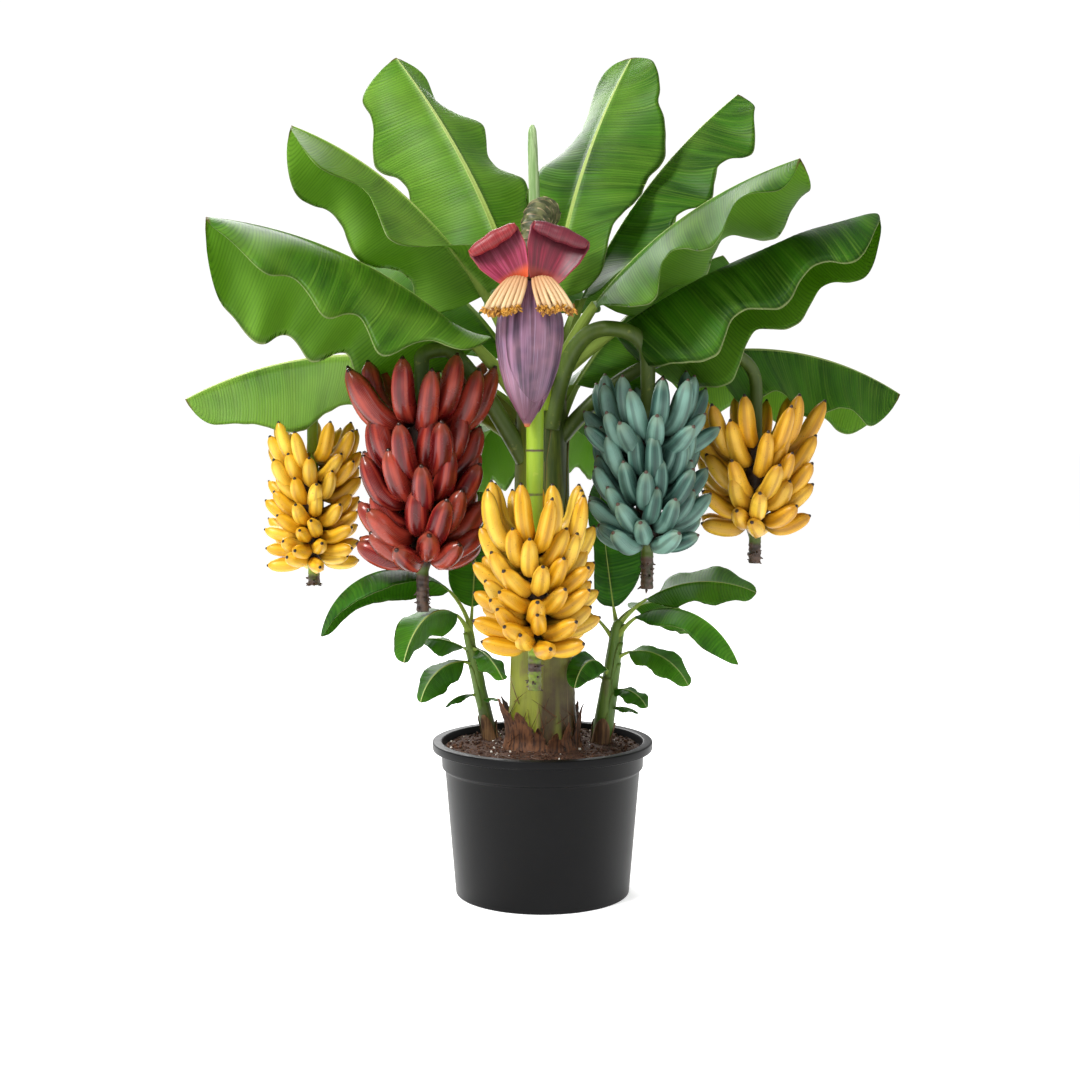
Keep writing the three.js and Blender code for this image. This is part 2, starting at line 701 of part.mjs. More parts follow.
place('flower_bud', budSolid(), budFinish);
for (const hand of FLOWER_HANDS) place(hand.name, handSolid(hand), flowerFinish);
for (const bract of BRACTS) place(bract.name, bractSolid(bract), bractFinish);

// ---------------------------------------------------------------- leaves

const rolledPath = new THREE.CatmullRomCurve3(ROLLED_LEAF.path.map(vector));
place('rolled_leaf', limb(rolledPath, ROLLED_LEAF.radii, 8, 4), sproutFinish);

const headingAt = (leaf, t) => radians(leaf.heading + (leaf.turn ?? 0) * t);

// The rib's direction at t, from 0 at the foot to 1 at the tip.
function ribDirection(leaf, t) {
  const slope = radians(leaf.rise - leaf.droop * t ** leaf.bend);
  const heading = headingAt(leaf, t);
  return new THREE.Vector3(
    Math.cos(slope) * Math.cos(heading),
    Math.cos(slope) * Math.sin(heading),
    Math.sin(slope),
  );
}

// The rib's place at t: its direction summed over short equal steps from the foot.
function ribPoint(leaf, start, t) {
  const steps = 32;
  const length = leaf.petiole + leaf.blade;
  const point = vector(start);
  for (let i = 0; i < steps; i += 1) {
    point.addScaledVector(ribDirection(leaf, (t * (i + 0.5)) / steps), (length * t) / steps);
  }
  return point;
}

// Share of the full width at u along the blade: a round base, straight sides and a blunt tip.
function bladeOutline(u) {
  const { baseShare: base, tipShare: tip, tipBluntness: blunt } = SECTION;
  if (u < base) return Math.sqrt(1 - (1 - u / base) ** 2);
  if (u < 1 - tip) return 1;
  return Math.max(0, 1 - ((u - 1 + tip) / tip) ** blunt) ** (1 / blunt);
}

// One section of a leaf: points round the rib and the two halves of the blade.
function leafSection(leaf, start, rib, t) {
  const length = leaf.petiole + leaf.blade;
  const along = ribDirection(leaf, t);
  const centre = ribPoint(leaf, start, t);
  const u = clamp((t * length - leaf.petiole) / leaf.blade, 0, 1);
  const inStalk = clamp((t * length) / leaf.petiole, 0, 1);
  const ribRadius = u > 0 ? lerp(rib.neck, rib.tip, u) : lerp(rib.foot, rib.neck, inStalk);
  const bladeHalf = t * length < leaf.petiole ? 0 : (leaf.width / 2) * bladeOutline(u);
  const half = Math.max(bladeHalf, ribRadius);
  const flat = clamp(bladeHalf / (3 * ribRadius), 0, 1);

  const heading = headingAt(leaf, t);
  const level = new THREE.Vector3(Math.sin(heading), -Math.cos(heading), 0);
  const roll = radians(leaf.roll + leaf.twist * u);
  const right = level.clone().applyAxisAngle(along, -roll);
  const up = right.clone().cross(along);

  const middle = lerp(...SECTION.middle, flat);
  const rise = lerp(SECTION.rise * ribRadius, rib.blade, flat);
  const drop = lerp(SECTION.drop * ribRadius, rib.blade, flat);
  const [waveHeight, waveCount, ...phases] = leaf.wave;
  const waveShare = Math.min(1, bladeHalf / (SECTION.waveFrom * leaf.width));

  const halfSection = (side) => {
    const k = side === 0 ? -1 : 1;
    const opened = Math.exp(-u / SECTION.opening);
    const fold = lerp(leaf.fold[side], leaf.stand[side], opened);
    const wave = waveHeight * waveShare * Math.sin(2 * Math.PI * waveCount * u + radians(phases[side]));
    const at = (s, lift) => {
      const angle = radians(fold + (leaf.curl[side] * s) / 2) * flat;
      const out = half * s;
      return centre.clone()
        .addScaledVector(right, k * (out * Math.cos(angle) + lift * Math.sin(angle)))
        .addScaledVector(up, lift * Math.cos(angle) - out * Math.sin(angle) + wave * s ** 1.6);
    };
    return { fold: fold * flat, top: at(middle, rise), margin: at(1, 0), under: at(middle, -drop) };
  };
  const left = halfSection(0);
  const rightHalf = halfSection(1);
  const lean = radians((rightHalf.fold - left.fold) / 2);
  const outwards = right.clone().multiplyScalar(Math.sin(lean)).addScaledVector(up, Math.cos(lean));
  const crest = centre.clone().addScaledVector(outwards, lerp(SECTION.crest * ribRadius, rib.blade, flat));
  const keel = centre.clone().addScaledVector(outwards, -ribRadius);
  if (!rib.bentHalves) return [rightHalf.margin, crest, left.margin, keel];
  return [
    rightHalf.margin, rightHalf.top, crest, left.top,
    left.margin, left.under, keel, rightHalf.under,
  ];
}

function placeLeaf(leaf, start, rib, steps) {
  const neck = leaf.petiole / (leaf.petiole + leaf.blade);
  const joint = (2 * GAP) / (leaf.petiole + leaf.blade);
  const spread = (from, to, count) => Array.from({ length: count + 1 }, (_, i) => lerp(from, to, i / count));
  const section = (t) => leafSection(leaf, start, rib, t);
  const tip = 0.999;
  if (leaf.droop > SPLIT_BEND && rib === CROWN_RIB) {
    place(`${leaf.name}_stalk`, loft(spread(0, neck - joint, steps.stalk).map(section)), stalkFinish);
    place(leaf.name, loft(spread(neck, tip, steps.blade).map(section)), leafFinish);
    return;
  }
  const marks = [...spread(0, neck, steps.stalk), ...spread(neck, tip, steps.blade).slice(1)];
  place(leaf.name, loft(marks.map(section)), leafFinish);
}

function crownStart(leaf) {
  const seat = 0.8 * stemRadius(leaf.foot);
  const heading = radians(leaf.heading);
  return [seat * Math.cos(heading), seat * Math.sin(heading), leaf.foot];
}

for (const leaf of CROWN_LEAVES) placeLeaf(leaf, crownStart(leaf), CROWN_RIB, CROWN_STEPS);
for (const leaf of LEFT_SUCKER_LEAVES) {
  placeLeaf(leaf, suckerPoint(SUCKER_LEFT, leaf.foot), SUCKER_RIB, SUCKER_STEPS);
}
for (const leaf of RIGHT_SUCKER_LEAVES) {
  placeLeaf(leaf, suckerPoint(SUCKER_RIGHT, leaf.foot), SUCKER_RIB, SUCKER_STEPS);
}

export default group;
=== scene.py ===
# %% [markdown]
# # A potted dwarf banana plant
#
# This lesson dresses a plain engineering model of a banana plant as the living thing: broad
# pleated leaves, curved fruit in five colours, a waxy flower bud and a black nursery pot.
# Every surface is a formula worked out with numpy, and every colour is a small network of
# shader nodes. The frame is in metres, with +Z up and the plant's front facing -Y. The tables
# below are in millimetres and degrees, in which a plant is easier to picture.

# %% Load the frame
import math
from collections import namedtuple

import bpy
import numpy as np
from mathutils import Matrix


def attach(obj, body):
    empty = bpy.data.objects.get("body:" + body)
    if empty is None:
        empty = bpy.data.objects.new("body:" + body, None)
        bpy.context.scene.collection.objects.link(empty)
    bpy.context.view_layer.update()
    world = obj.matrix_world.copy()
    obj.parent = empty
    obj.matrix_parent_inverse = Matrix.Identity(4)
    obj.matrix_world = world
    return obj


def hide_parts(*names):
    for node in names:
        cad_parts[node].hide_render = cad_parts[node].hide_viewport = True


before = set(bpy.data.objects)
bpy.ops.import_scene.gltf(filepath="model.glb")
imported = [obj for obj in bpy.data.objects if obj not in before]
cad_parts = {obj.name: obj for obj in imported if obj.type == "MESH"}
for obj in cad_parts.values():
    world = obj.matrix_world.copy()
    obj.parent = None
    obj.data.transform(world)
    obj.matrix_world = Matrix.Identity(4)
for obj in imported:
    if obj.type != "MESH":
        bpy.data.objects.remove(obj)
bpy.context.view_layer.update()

# %% [markdown]
# ## Shapes: one skin over a row of rings
#
# Almost everything on a plant is a *limb*: a row of rings joined by a skin. A leaf is one too,
# with very flat rings. Modelling each by hand would take days, so `skin` makes the faces from
# any array of ring points. It closes both ends with a fan, and turns the faces outward by the
# sign of the volume that they enclose.

# %% Shapes: skins
MM = 0.001
TURN = 2 * math.pi
rng = np.random.default_rng(7)


def unit(v):
    """Each vector divided by its own length."""
    return v / np.linalg.norm(v, axis=-1, keepdims=True)


def circle(k):
    """The angles of k points round a ring."""
    return TURN * np.arange(k) / k


def rays(angle):
    """The level unit vector at each angle."""
    return np.stack([np.cos(angle), np.sin(angle), 0 * angle], -1)


def skin(rings):
    """Faces over rings of shape (n, k, 3): quads between neighbours and a fan to the middle of
    each end ring. Returns the points, the faces' corners, each corner's place in the map, from 0
    to 1 across and along, and the faces' sizes."""
    n, k, _ = rings.shape
    points = np.concatenate([rings.reshape(-1, 3), rings[:1].mean(1), rings[-1:].mean(1)])
    i, j = (a.ravel() for a in np.meshgrid(np.arange(n - 1), np.arange(k), indexing="ij"))
    turn, right = np.arange(k), (j + 1) % k
    after = (turn + 1) % k
    quads = np.stack([i * k + j, i * k + right, (i + 1) * k + right, (i + 1) * k + j], -1)
    across, along = np.stack([j, j + 1, j + 1, j], -1) / k, np.stack([i, i, i + 1, i + 1], -1) / (n - 1)
    foot = np.stack([after, turn, np.full(k, n * k)], -1)
    tip = np.stack([turn, after, np.full(k, n * k + 1)], -1) + [(n - 1) * k, (n - 1) * k, 0]
    edge = np.stack([(turn + 1) / k, turn / k, (turn + 0.5) / k], -1)
    faces = [(quads, np.stack([across, 0.04 + 0.92 * along], -1)),
             (foot, np.stack([edge, np.tile([0.04, 0.04, 0.0], (k, 1))], -1)),
             (tip, np.stack([edge[:, [1, 0, 2]], np.tile([0.96, 0.96, 1.0], (k, 1))], -1))]
    a, b, c, d = points[quads.T]
    step = -1 if (a * (np.cross(b, c) + np.cross(c, d))).sum() < 0 else 1
    corners = np.concatenate([f[:, ::step].ravel() for f, _ in faces])
    places = np.concatenate([m[:, ::step].reshape(-1, 2) for _, m in faces])
    return points, corners, places, np.concatenate([np.full(len(quads), 4), np.full(2 * k, 3)])


def tube(path, radius, k):
    """Rings of k points round a path of n points. Each ring's plane is square to the path, and
    its first point is carried along without twist. The radius is (n,) or (n, k) numbers."""
    path = np.asarray(path, float)
    along = unit(np.gradient(path, axis=0))
    across = np.empty_like(path)
    last = np.array([1.0, 0, 0])
    for i in range(len(path)):
        last = unit(last - along[i] * (last @ along[i]))
        across[i] = last
    up = np.cross(along, across)
    turn = circle(k)[:, None]
    radius = np.asarray(radius, float)
    if radius.ndim < 2:
        radius = np.broadcast_to(radius.reshape(-1, 1), (len(path), k))
    out = np.cos(turn) * across[:, None] + np.sin(turn) * up[:, None]
    return path[:, None] + radius[..., None] * out


print("a tube of 3 rings of 8 points has", len(skin(tube(np.eye(3), 0.1, 8))[3]), "faces")

# %% [markdown]
# ## Shapes: heaps of skins
#
# A bunch is sixty bananas and the compost is sixteen hundred crumbs, far too many for one object
# each. A `Heap` gathers skins into one mesh and gives each its own cell of the picture map.
# Numbers stored on the points, its *facts*, tell the colours later where on a banana they are.

# %% Shapes: heaps
class Heap:
    """Many skins gathered into one mesh, with named numbers stored on the points."""

    def __init__(self):
        self.parts = []

    def add(self, rings, **facts):
        """Adds a skin. A fact is a number, or an array that fits the rings' points."""
        values = {}
        for name, value in facts.items():
            value = np.broadcast_to(np.asarray(value, float), rings.shape[:2])
            values[name] = np.concatenate([value.ravel(), [value[0].mean(), value[-1].mean()]])
        self.parts.append((*skin(rings), values))

    def build(self, name, material, slot, nodes):
        """Makes the mesh, hangs it on the root body, and hides the plain nodes that it stands in for."""
        points, corners, places, sizes, facts = zip(*self.parts)
        cells = math.ceil(math.sqrt(len(points)))
        first = np.cumsum([0] + [len(p) for p in points])
        corners = np.concatenate([c + start for c, start in zip(corners, first)])
        places = np.concatenate([(m * 0.94 + 0.03 + [i % cells, i // cells]) / cells
                                 for i, m in enumerate(places)])
        points, sizes = np.concatenate(points), np.concatenate(sizes)
        mesh = bpy.data.meshes.new(name)
        mesh.vertices.add(len(points))
        mesh.vertices.foreach_set("co", points.ravel())
        mesh.loops.add(len(corners))
        mesh.loops.foreach_set("vertex_index", corners)
        mesh.polygons.add(len(sizes))
        mesh.polygons.foreach_set("loop_start", np.cumsum(sizes) - sizes)
        mesh.polygons.foreach_set("loop_total", sizes)
        mesh.polygons.foreach_set("use_smooth", np.ones(len(sizes), bool))
        mesh.uv_layers.new(name="OFBake").data.foreach_set("uv", places.ravel())
        for fact in facts[0]:
            values = np.concatenate([f[fact] for f in facts])
            mesh.attributes.new(fact, "FLOAT", "POINT").data.foreach_set("value", values)
        mesh.update()
        mesh.validate()
        mesh.materials.append(material)
        piece = bpy.data.objects.new(name, mesh)
        bpy.context.scene.collection.objects.link(piece)
        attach(piece, "root")
        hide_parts(*nodes)
        print(name, "has", len(facts), "parts and", int((sizes - 2).sum()), "triangles")


# %% [markdown]
# ## Shader sums that read like sums
#
# A node network is a formula drawn as boxes. `Value` wraps one box's output, so that writing
# `a * 0.5 + b` makes the boxes. `Paint` is one material with its noises, steps and mixes.

# %% Materials: a small language
def tone(code):
    """A colour written as six hex digits, as the linear values that the renderer works in."""
    c = np.array([int(code[i:i + 2], 16) for i in (0, 2, 4)]) / 255
    return tuple(np.where(c <= 0.04045, c / 12.92, ((c + 0.055) / 1.055) ** 2.4)) + (1.0,)


class Value:
    """A number made by a node."""

    def __init__(self, paint, socket):
        self.paint, self.socket = paint, socket

    def __add__(self, o): return self.paint.maths("ADD", self, o)
    def __sub__(self, o): return self.paint.maths("SUBTRACT", self, o)
    def __rsub__(self, o): return self.paint.maths("SUBTRACT", o, self)
    def __mul__(self, o): return self.paint.maths("MULTIPLY", self, o)
    def __pow__(self, o): return self.paint.maths("POWER", self, o)
    def __abs__(self): return self.paint.maths("ABSOLUTE", self)


class Paint:
    """One material and the nodes that make it."""

    def __init__(self, name):
        self.material = bpy.data.materials.new(name)
        self.material.use_nodes = True
        self.tree = self.material.node_tree
        self.tree.nodes.clear()

    def node(self, kind, settings=None, **inputs):
        """A node of that kind. An input is named, or is _ and its number."""
        node = self.tree.nodes.new(kind)
        for name, value in (settings or {}).items():
            setattr(node, name, value)
        for name, value in inputs.items():
            key = int(name[1:]) if name[1:].isdigit() else name.replace("_", " ")
            self.feed(node.inputs[key], value)
        return node

    def feed(self, socket, value):
        """Links the input to a value, or gives it a number or a colour."""
        value = value.socket if isinstance(value, Value) else value
        if isinstance(value, bpy.types.NodeSocket):
            self.tree.links.new(value, socket)
        else:
            socket.default_value = tone(value) if isinstance(value, str) else value

    def value(self, kind, settings=None, **inputs):
        """The first output of a new node, as a value to reckon with."""
        return Value(self, self.node(kind, settings, **inputs).outputs[0])

    def maths(self, op, a, b=0.0):
        return self.value("ShaderNodeMath", {"operation": op}, _0=a, _1=b)

    def facts(self, names):
        """Numbers stored on the mesh, by their names."""
        nodes = (self.node("ShaderNodeAttribute", {"attribute_name": name}) for name in names.split())
        return [Value(self, node.outputs["Fac"]) for node in nodes]

    def noise(self, scale, detail=3.0, rough=0.55, stretch=(1, 1, 1)):
        """Cloudy noise in the object's own space, of that many clouds to a metre."""
        place = self.node("ShaderNodeTexCoord").outputs["Object"]
        place = self.node("ShaderNodeMapping", Vector=place, Scale=stretch).outputs[0]
        return self.value("ShaderNodeTexNoise", Vector=place, Scale=scale, Detail=detail,
                          Roughness=rough)

    def noise_on(self, x, y, z, detail=3.0, rough=0.6):
        """Cloudy noise over three numbers that lie on the skin."""
        place = self.node("ShaderNodeCombineXYZ", X=x, Y=y, Z=z).outputs[0]
        return self.value("ShaderNodeTexNoise", Vector=place, Scale=1.0, Detail=detail, Roughness=rough)

    def span(self, a, low, high):
        """0 below low, 1 above high, and a smooth step between."""
        return self.value("ShaderNodeMapRange", {"interpolation_type": "SMOOTHSTEP"},
                          Value=a, From_Min=low, From_Max=high)

    def mix(self, share, a, b):
        """Colour a turning into colour b as share goes from 0 to 1."""
        return self.node("ShaderNodeMix", {"data_type": "RGBA"}, _0=share, _6=a, _7=b).outputs[2]

    def bump(self, height, strength, distance):
        """The skin's direction over small bumps. The distance is in metres."""
        node = self.node("ShaderNodeBump", Height=height, Strength=strength, Distance=distance)
        return node.outputs[0]

    def finish(self, colour, rough, normal, through=0.0, glow=None, **more):
        """Ends the material: a surface, and for thin things a share of light passing through."""
        result = self.node("ShaderNodeBsdfPrincipled", Base_Color=colour, Roughness=rough,
                           Normal=normal, **more).outputs[0]
        if through:
            light = self.node("ShaderNodeBsdfTranslucent", Color=glow, Normal=normal).outputs[0]
            result = self.node("ShaderNodeMixShader", _0=through, _1=result, _2=light).outputs[0]
        self.node("ShaderNodeOutputMaterial", Surface=result)
        return self.material


print("leaf green in linear light is", np.round(tone("3e7316"), 3).tolist())

# %% [markdown]
# ## The leaf's colours
#
# A banana leaf is a thin green sheet with a pale channel of a midrib. Fine side veins run from it
# to the margin, bending towards the tip, and between them the sheet is softly pleated. The upper
# face is deep and glossy, the under face paler, and light glows through both. The facts on the
# mesh say where a point is: `u` along the blade, `v` across it, `rib` near the midrib, `face` 1
# on top, and `shade`, how much light green a leaf gets. On the suckers it is a random tone. On the
# crown it is partly the leaf's own tone and partly painted light and shade, lighter on the left
# leaves and darker on the right ones. Noise bends the veins, because a plain sine wave looks like
# corduroy.

# %% Leaves: colours
def leaf_paint(name, dark, mid, light, under, glow, bands, through):
    p = Paint(name)
    u, v, rib, face, shade = p.facts("u v rib face shade")
    side = abs(v)
    vein = u - side * side * 0.05
    wander = p.noise(9.0, 2.0)
    broad = p.noise_on(vein * (bands * 0.6), side * 0.6, shade * 9, 2.0, 0.55)
    fine = p.noise_on(vein * (bands * 5.0), side * 0.4, shade * 5, 2.0)
    wave = p.maths("SINE", vein * (bands * 9.5) + wander * 2.0 + broad * 7.0)
    lines = (1.0 - abs(wave)) ** 1.6
    green = p.mix(p.span(broad, 0.36, 0.64), dark, mid)
    green = p.mix(p.span(fine, 0.45, 0.75) * 0.4, green, light)
    # The leaf's shade fact, roughened by noise, mixes in the light green: on the crown partly the leaf's
    # own tone, partly painted light on the left leaves and painted shade on the right ones.
    green = p.mix(p.span(shade + (wander - 0.5) * 1.1, 0.2, 0.95) * 0.75, green, light)
    green = p.mix(face, p.mix(0.75, green, under), green)
    green = p.mix(lines * (p.span(fine, 0.35, 0.65) * 0.5 + 0.2), green, p.mix(0.75, green, dark))
    green = p.mix(p.span(rib, 0.55, 0.85), green, p.mix(p.span(u, 0.0, 0.9), "8ea546", "aec072"))
    green = p.mix(p.span(side, 0.978, 0.992) * 0.8, green, "c6d58c")
    green = p.mix(p.span(u, 0.988, 0.998) * 0.9, green, "6b4a26")
    normal = p.bump(broad * 0.5 + fine * 0.25 - lines * 0.25, 0.5, 0.0016)
    rough = wander * 0.14 + (1.0 - face) * 0.15 + 0.4
    share = (1.0 - p.span(rib, 0.2, 0.6)) * through + 0.02
    sheen = p.mix(p.span(broad, 0.3, 0.7), glow, p.mix(0.4, glow, light))
    sheen = p.mix(lines * 0.3, sheen, dark)
    return p.finish(green, rough, normal, share, sheen, Specular_IOR_Level=0.24)


crown_green = leaf_paint("leaf", "1a400a", "3e7316", "8cb640", "74a232", "94c428", 30.0, 0.38)
sucker_green = leaf_paint("sucker leaf", "183f08", "34700f", "66a02a", "568c24", "74b41a", 12.0, 0.3)
print("leaf material has", len(crown_green.node_tree.nodes), "nodes")

# %% [markdown]
# ## The leaf's midrib
#
# A leaf is held by one long stalk that runs on through the blade as its midrib. It leaves the
# stem rising steeply and turns down by and by under its own weight. One rule with a few numbers
# makes every leaf, and these are the same numbers as the plain solids', so each leaf lies along
# the solid that it replaces.

# %% Leaves: the midrib
STEM_CUT = 235.6
STEM_HEIGHTS = [STEM_CUT, 252, 300, 450, 620, 780, 850]
STEM_RADII = [63, 57, 53, 47, 40, 34, 26]
RIB_STEPS = 800
Leaf = namedtuple("Leaf", "foot heading rise droop bend petiole blade width roll twist "
                          "stand fold curl wave swing notches", defaults=(0, ()))


def on_stem(height, bearing):
    """The point a fifth of the way in from the main stem's skin, as an array."""
    seat, turn = 0.8 * np.interp(height, STEM_HEIGHTS, STEM_RADII), math.radians(bearing)
    return np.array([seat * math.cos(turn), seat * math.sin(turn), height])


def centre_line(h, foot=(0, 0), lean=0):
    """Points at the heights h on a line that leans by so many millimetres for each one up."""
    return np.stack([foot[0] + lean * (h - STEM_CUT), foot[1] + 0 * h, h], -1)


def rib_path(leaf, start, t):
    """The midrib at shares t of its length, and its direction there. Its slope is rise minus
    droop times t to the power bend, and its bearing swings evenly. The points are the running
    sum of many short steps in that direction."""
    def direction(q):
        slope = np.radians(leaf.rise - leaf.droop * q**leaf.bend)
        turn = np.radians(leaf.heading + leaf.swing * q)
        return np.stack([np.cos(slope) * np.cos(turn), np.cos(slope) * np.sin(turn), np.sin(slope)], -1)

    fine = np.linspace(0, 1, RIB_STEPS + 1)
    steps = direction((fine[1:] + fine[:-1]) / 2) * (leaf.petiole + leaf.blade) / RIB_STEPS
    path = np.concatenate([np.zeros((1, 3)), np.cumsum(steps, 0)])
    return np.stack([np.interp(t, fine, path[:, i]) for i in range(3)], -1) + start, direction(t)


def leaf_sides(leaf, t, u, along):
    """The leaf's own right and up along the rib: level at first, then rolled and twisted."""
    turn = np.radians(leaf.heading + leaf.swing * t)
    level = np.stack([np.sin(turn), -np.cos(turn), 0 * turn], -1)
    lift = np.cross(level, along)
    tilt = np.radians(leaf.roll + leaf.twist * u)[:, None]
    return np.cos(tilt) * level + np.sin(tilt) * lift, np.cos(tilt) * lift - np.sin(tilt) * level


print("the stem's top is", STEM_HEIGHTS[-1], "mm up")

# %% [markdown]
# ## The leaf's blade
#
# Each half of the blade starts from the midrib at some angle, droops or stands, curls towards its
# margin and waves. Small ripples and pleats go on top of that, because the blade dries and tears
# between its veins. A real blade is under half a millimetre thick. This one is about one
# millimetre, with a rounded rib below and a channel above, so that its edge catches the light.

# %% Leaves: the blade
Make = namedtuple("Make", "rib_foot rib_neck rib_tip stalk_steps blade_steps half_points "
                          "ripple thick base tip blunt")


def outline(u, make):
    """Share of the full width at u along the blade: round base, straight sides, blunt tip."""
    start = np.sqrt(np.clip(1 - (1 - np.minimum(u, make.base) / make.base) ** 2, 0, 1))
    end = np.clip(1 - (np.clip(u - 1 + make.tip, 0, None) / make.tip) ** make.blunt, 0, 1)
    return start * end ** (1 / make.blunt)


def blade_lift(leaf, make, side, s, u, open_share, phase):
    """How far the blade rises from its plane at s of the way to the margin: the leaf's own
    waves, then two sizes of ripple and the pleats. Ripples and pleats fade near the tip."""
    high, count, *starts = leaf.wave
    calm = open_share * np.clip((1 - u) / 0.25, 0, 1)
    swell = np.sin(TURN * count * u + math.radians(starts[side]))
    ripples = (0.8 * np.sin(TURN * 7.3 * u + phase[2 + side]) * s**2.2
               + 0.45 * np.sin(TURN * (15.1 * u - 1.1 * s**2) + phase[4 + side]) * s**1.3)
    pleat = np.sin(TURN * (leaf.blade / 11) * (u - 0.06 * s**2) + phase[6 + side])
    return (high * open_share * swell * s**1.6 + make.ripple * calm * ripples
            + 0.3 * calm * pleat * np.sin(math.pi * s) ** 0.5)


def leaf_rings(leaf, start, make):
    """Rings across one leaf, each going over the top from the right margin to the left one and
    back below. A point out along its half's angle is offset square to it by the thickness."""
    whole = leaf.petiole + leaf.blade
    u_blade = 1 - (1 - np.linspace(0, 1, make.blade_steps) ** 1.15) ** 1.12
    t = np.concatenate([np.linspace(0, leaf.petiole / whole, make.stalk_steps, endpoint=False),
                        (leaf.petiole + leaf.blade * u_blade * 0.999) / whole])
    centre, along = rib_path(leaf, start, t)
    u = np.clip((t * whole - leaf.petiole) / leaf.blade, 0, 1)
    right, up = leaf_sides(leaf, t, u, along)
    neck, foot = make.rib_neck, make.rib_foot
    rib = np.where(u > 0, neck + (make.rib_tip - neck) * u,
                   foot + (neck - foot) * np.clip(t * whole / leaf.petiole, 0, 1))
    blade_half = np.where(t * whole < leaf.petiole, 0, leaf.width / 2 * outline(u, make))
    phase = rng.uniform(0, 6.28, 8)
    ragged = 1 + 0.006 * np.sin(23 * u + phase[0]) + 0.003 * np.sin(61 * u + phase[1])
    half = np.maximum(blade_half * ragged, rib * 1.12)
    near = np.minimum(rib / half, 0.88)[:, None]
    outer = np.linspace(0, 1, make.half_points)[1:] ** 0.95
    s = np.concatenate([near * np.array([0, 0.3, 0.55, 0.8, 1.0]), near + (1 - near) * outer], 1)
    flat = np.clip(blade_half / (3 * rib), 0, 1)[:, None]
    open_share = np.minimum(1, blade_half / (0.35 * leaf.width))[:, None]
    r = rib[:, None]

    def face(side, top):
        """One half's upper or under face, from the midrib out: its points, then its facts."""
        k, size = 2 * side - 1, half.copy()
        for which, at, depth, reach in leaf.notches:
            if which == side:
                size = size * (1 - depth * np.exp(-(((u - at) / reach) ** 2)))
        out = size[:, None] * s
        slant = leaf.fold[side] + (leaf.stand[side] - leaf.fold[side]) * np.exp(-u / 0.15)
        slant = np.radians(slant[:, None] + leaf.curl[side] * s / 2) * flat
        ball = np.sqrt(np.clip(1 - (out / r) ** 2, 0, 1))
        body = make.thick * np.sqrt(np.clip(1 - s**6, 0, 1))
        if top:
            offset = body + r * (0.42 * ball - 0.5 * np.exp(-((out / (0.42 * r)) ** 2)))
        else:
            offset = -body - r * 0.95 * ball
        offset = offset + (1 - flat) * r * 0.85 * s**3
        rise = blade_lift(leaf, make, side, s, u[:, None], open_share, phase)
        sideways = k * (out * np.cos(slant) + offset * np.sin(slant))
        upward = offset * np.cos(slant) - out * np.sin(slant) + rise
        points = centre[:, None] + right[:, None] * sideways[..., None] + up[:, None] * upward[..., None]
        near_rib = np.maximum(np.clip(1.35 - out / (r * 1.25), 0, 1), 1 - flat)
        facts = np.stack([u[:, None] + 0 * s, k * s, near_rib, float(top) + 0 * s], -1)
        return np.concatenate([points, facts], -1)

    ring = np.concatenate([face(1, True)[:, ::-1], face(0, True)[:, 1:],
                           face(0, False)[:, -2::-1], face(1, False)[:, 1:-1]], 1)
    return ring[..., :3] * MM, dict(zip(("u", "v", "rib", "face"), np.moveaxis(ring[..., 3:], -1, 0)))


CROWN_MAKE = Make(13, 7.0, 1.5, 12, 96, 11, 1.0, 0.55, 0.16, 0.28, 2.2)
SUCKER_MAKE = Make(4.4, 1.9, 0.5, 8, 40, 8, 0.5, 0.4, 0.36, 0.5, 2.0)
print("half way along, a blade has", outline(np.array([0.5]), CROWN_MAKE)[0], "of its width")

# %% [markdown]
# ## The leaves, row by row
#
# Each row holds the height of the leaf's foot, its bearing, rise, droop, bend, stalk and blade
# lengths, width, roll, twist, then for the left and right halves the angle at the base, the
# angle further out and the curl, and last the waves: their height, number and starts. Some rows
# add a swing of the bearing, and notches in a margin: its side, place, depth and reach.

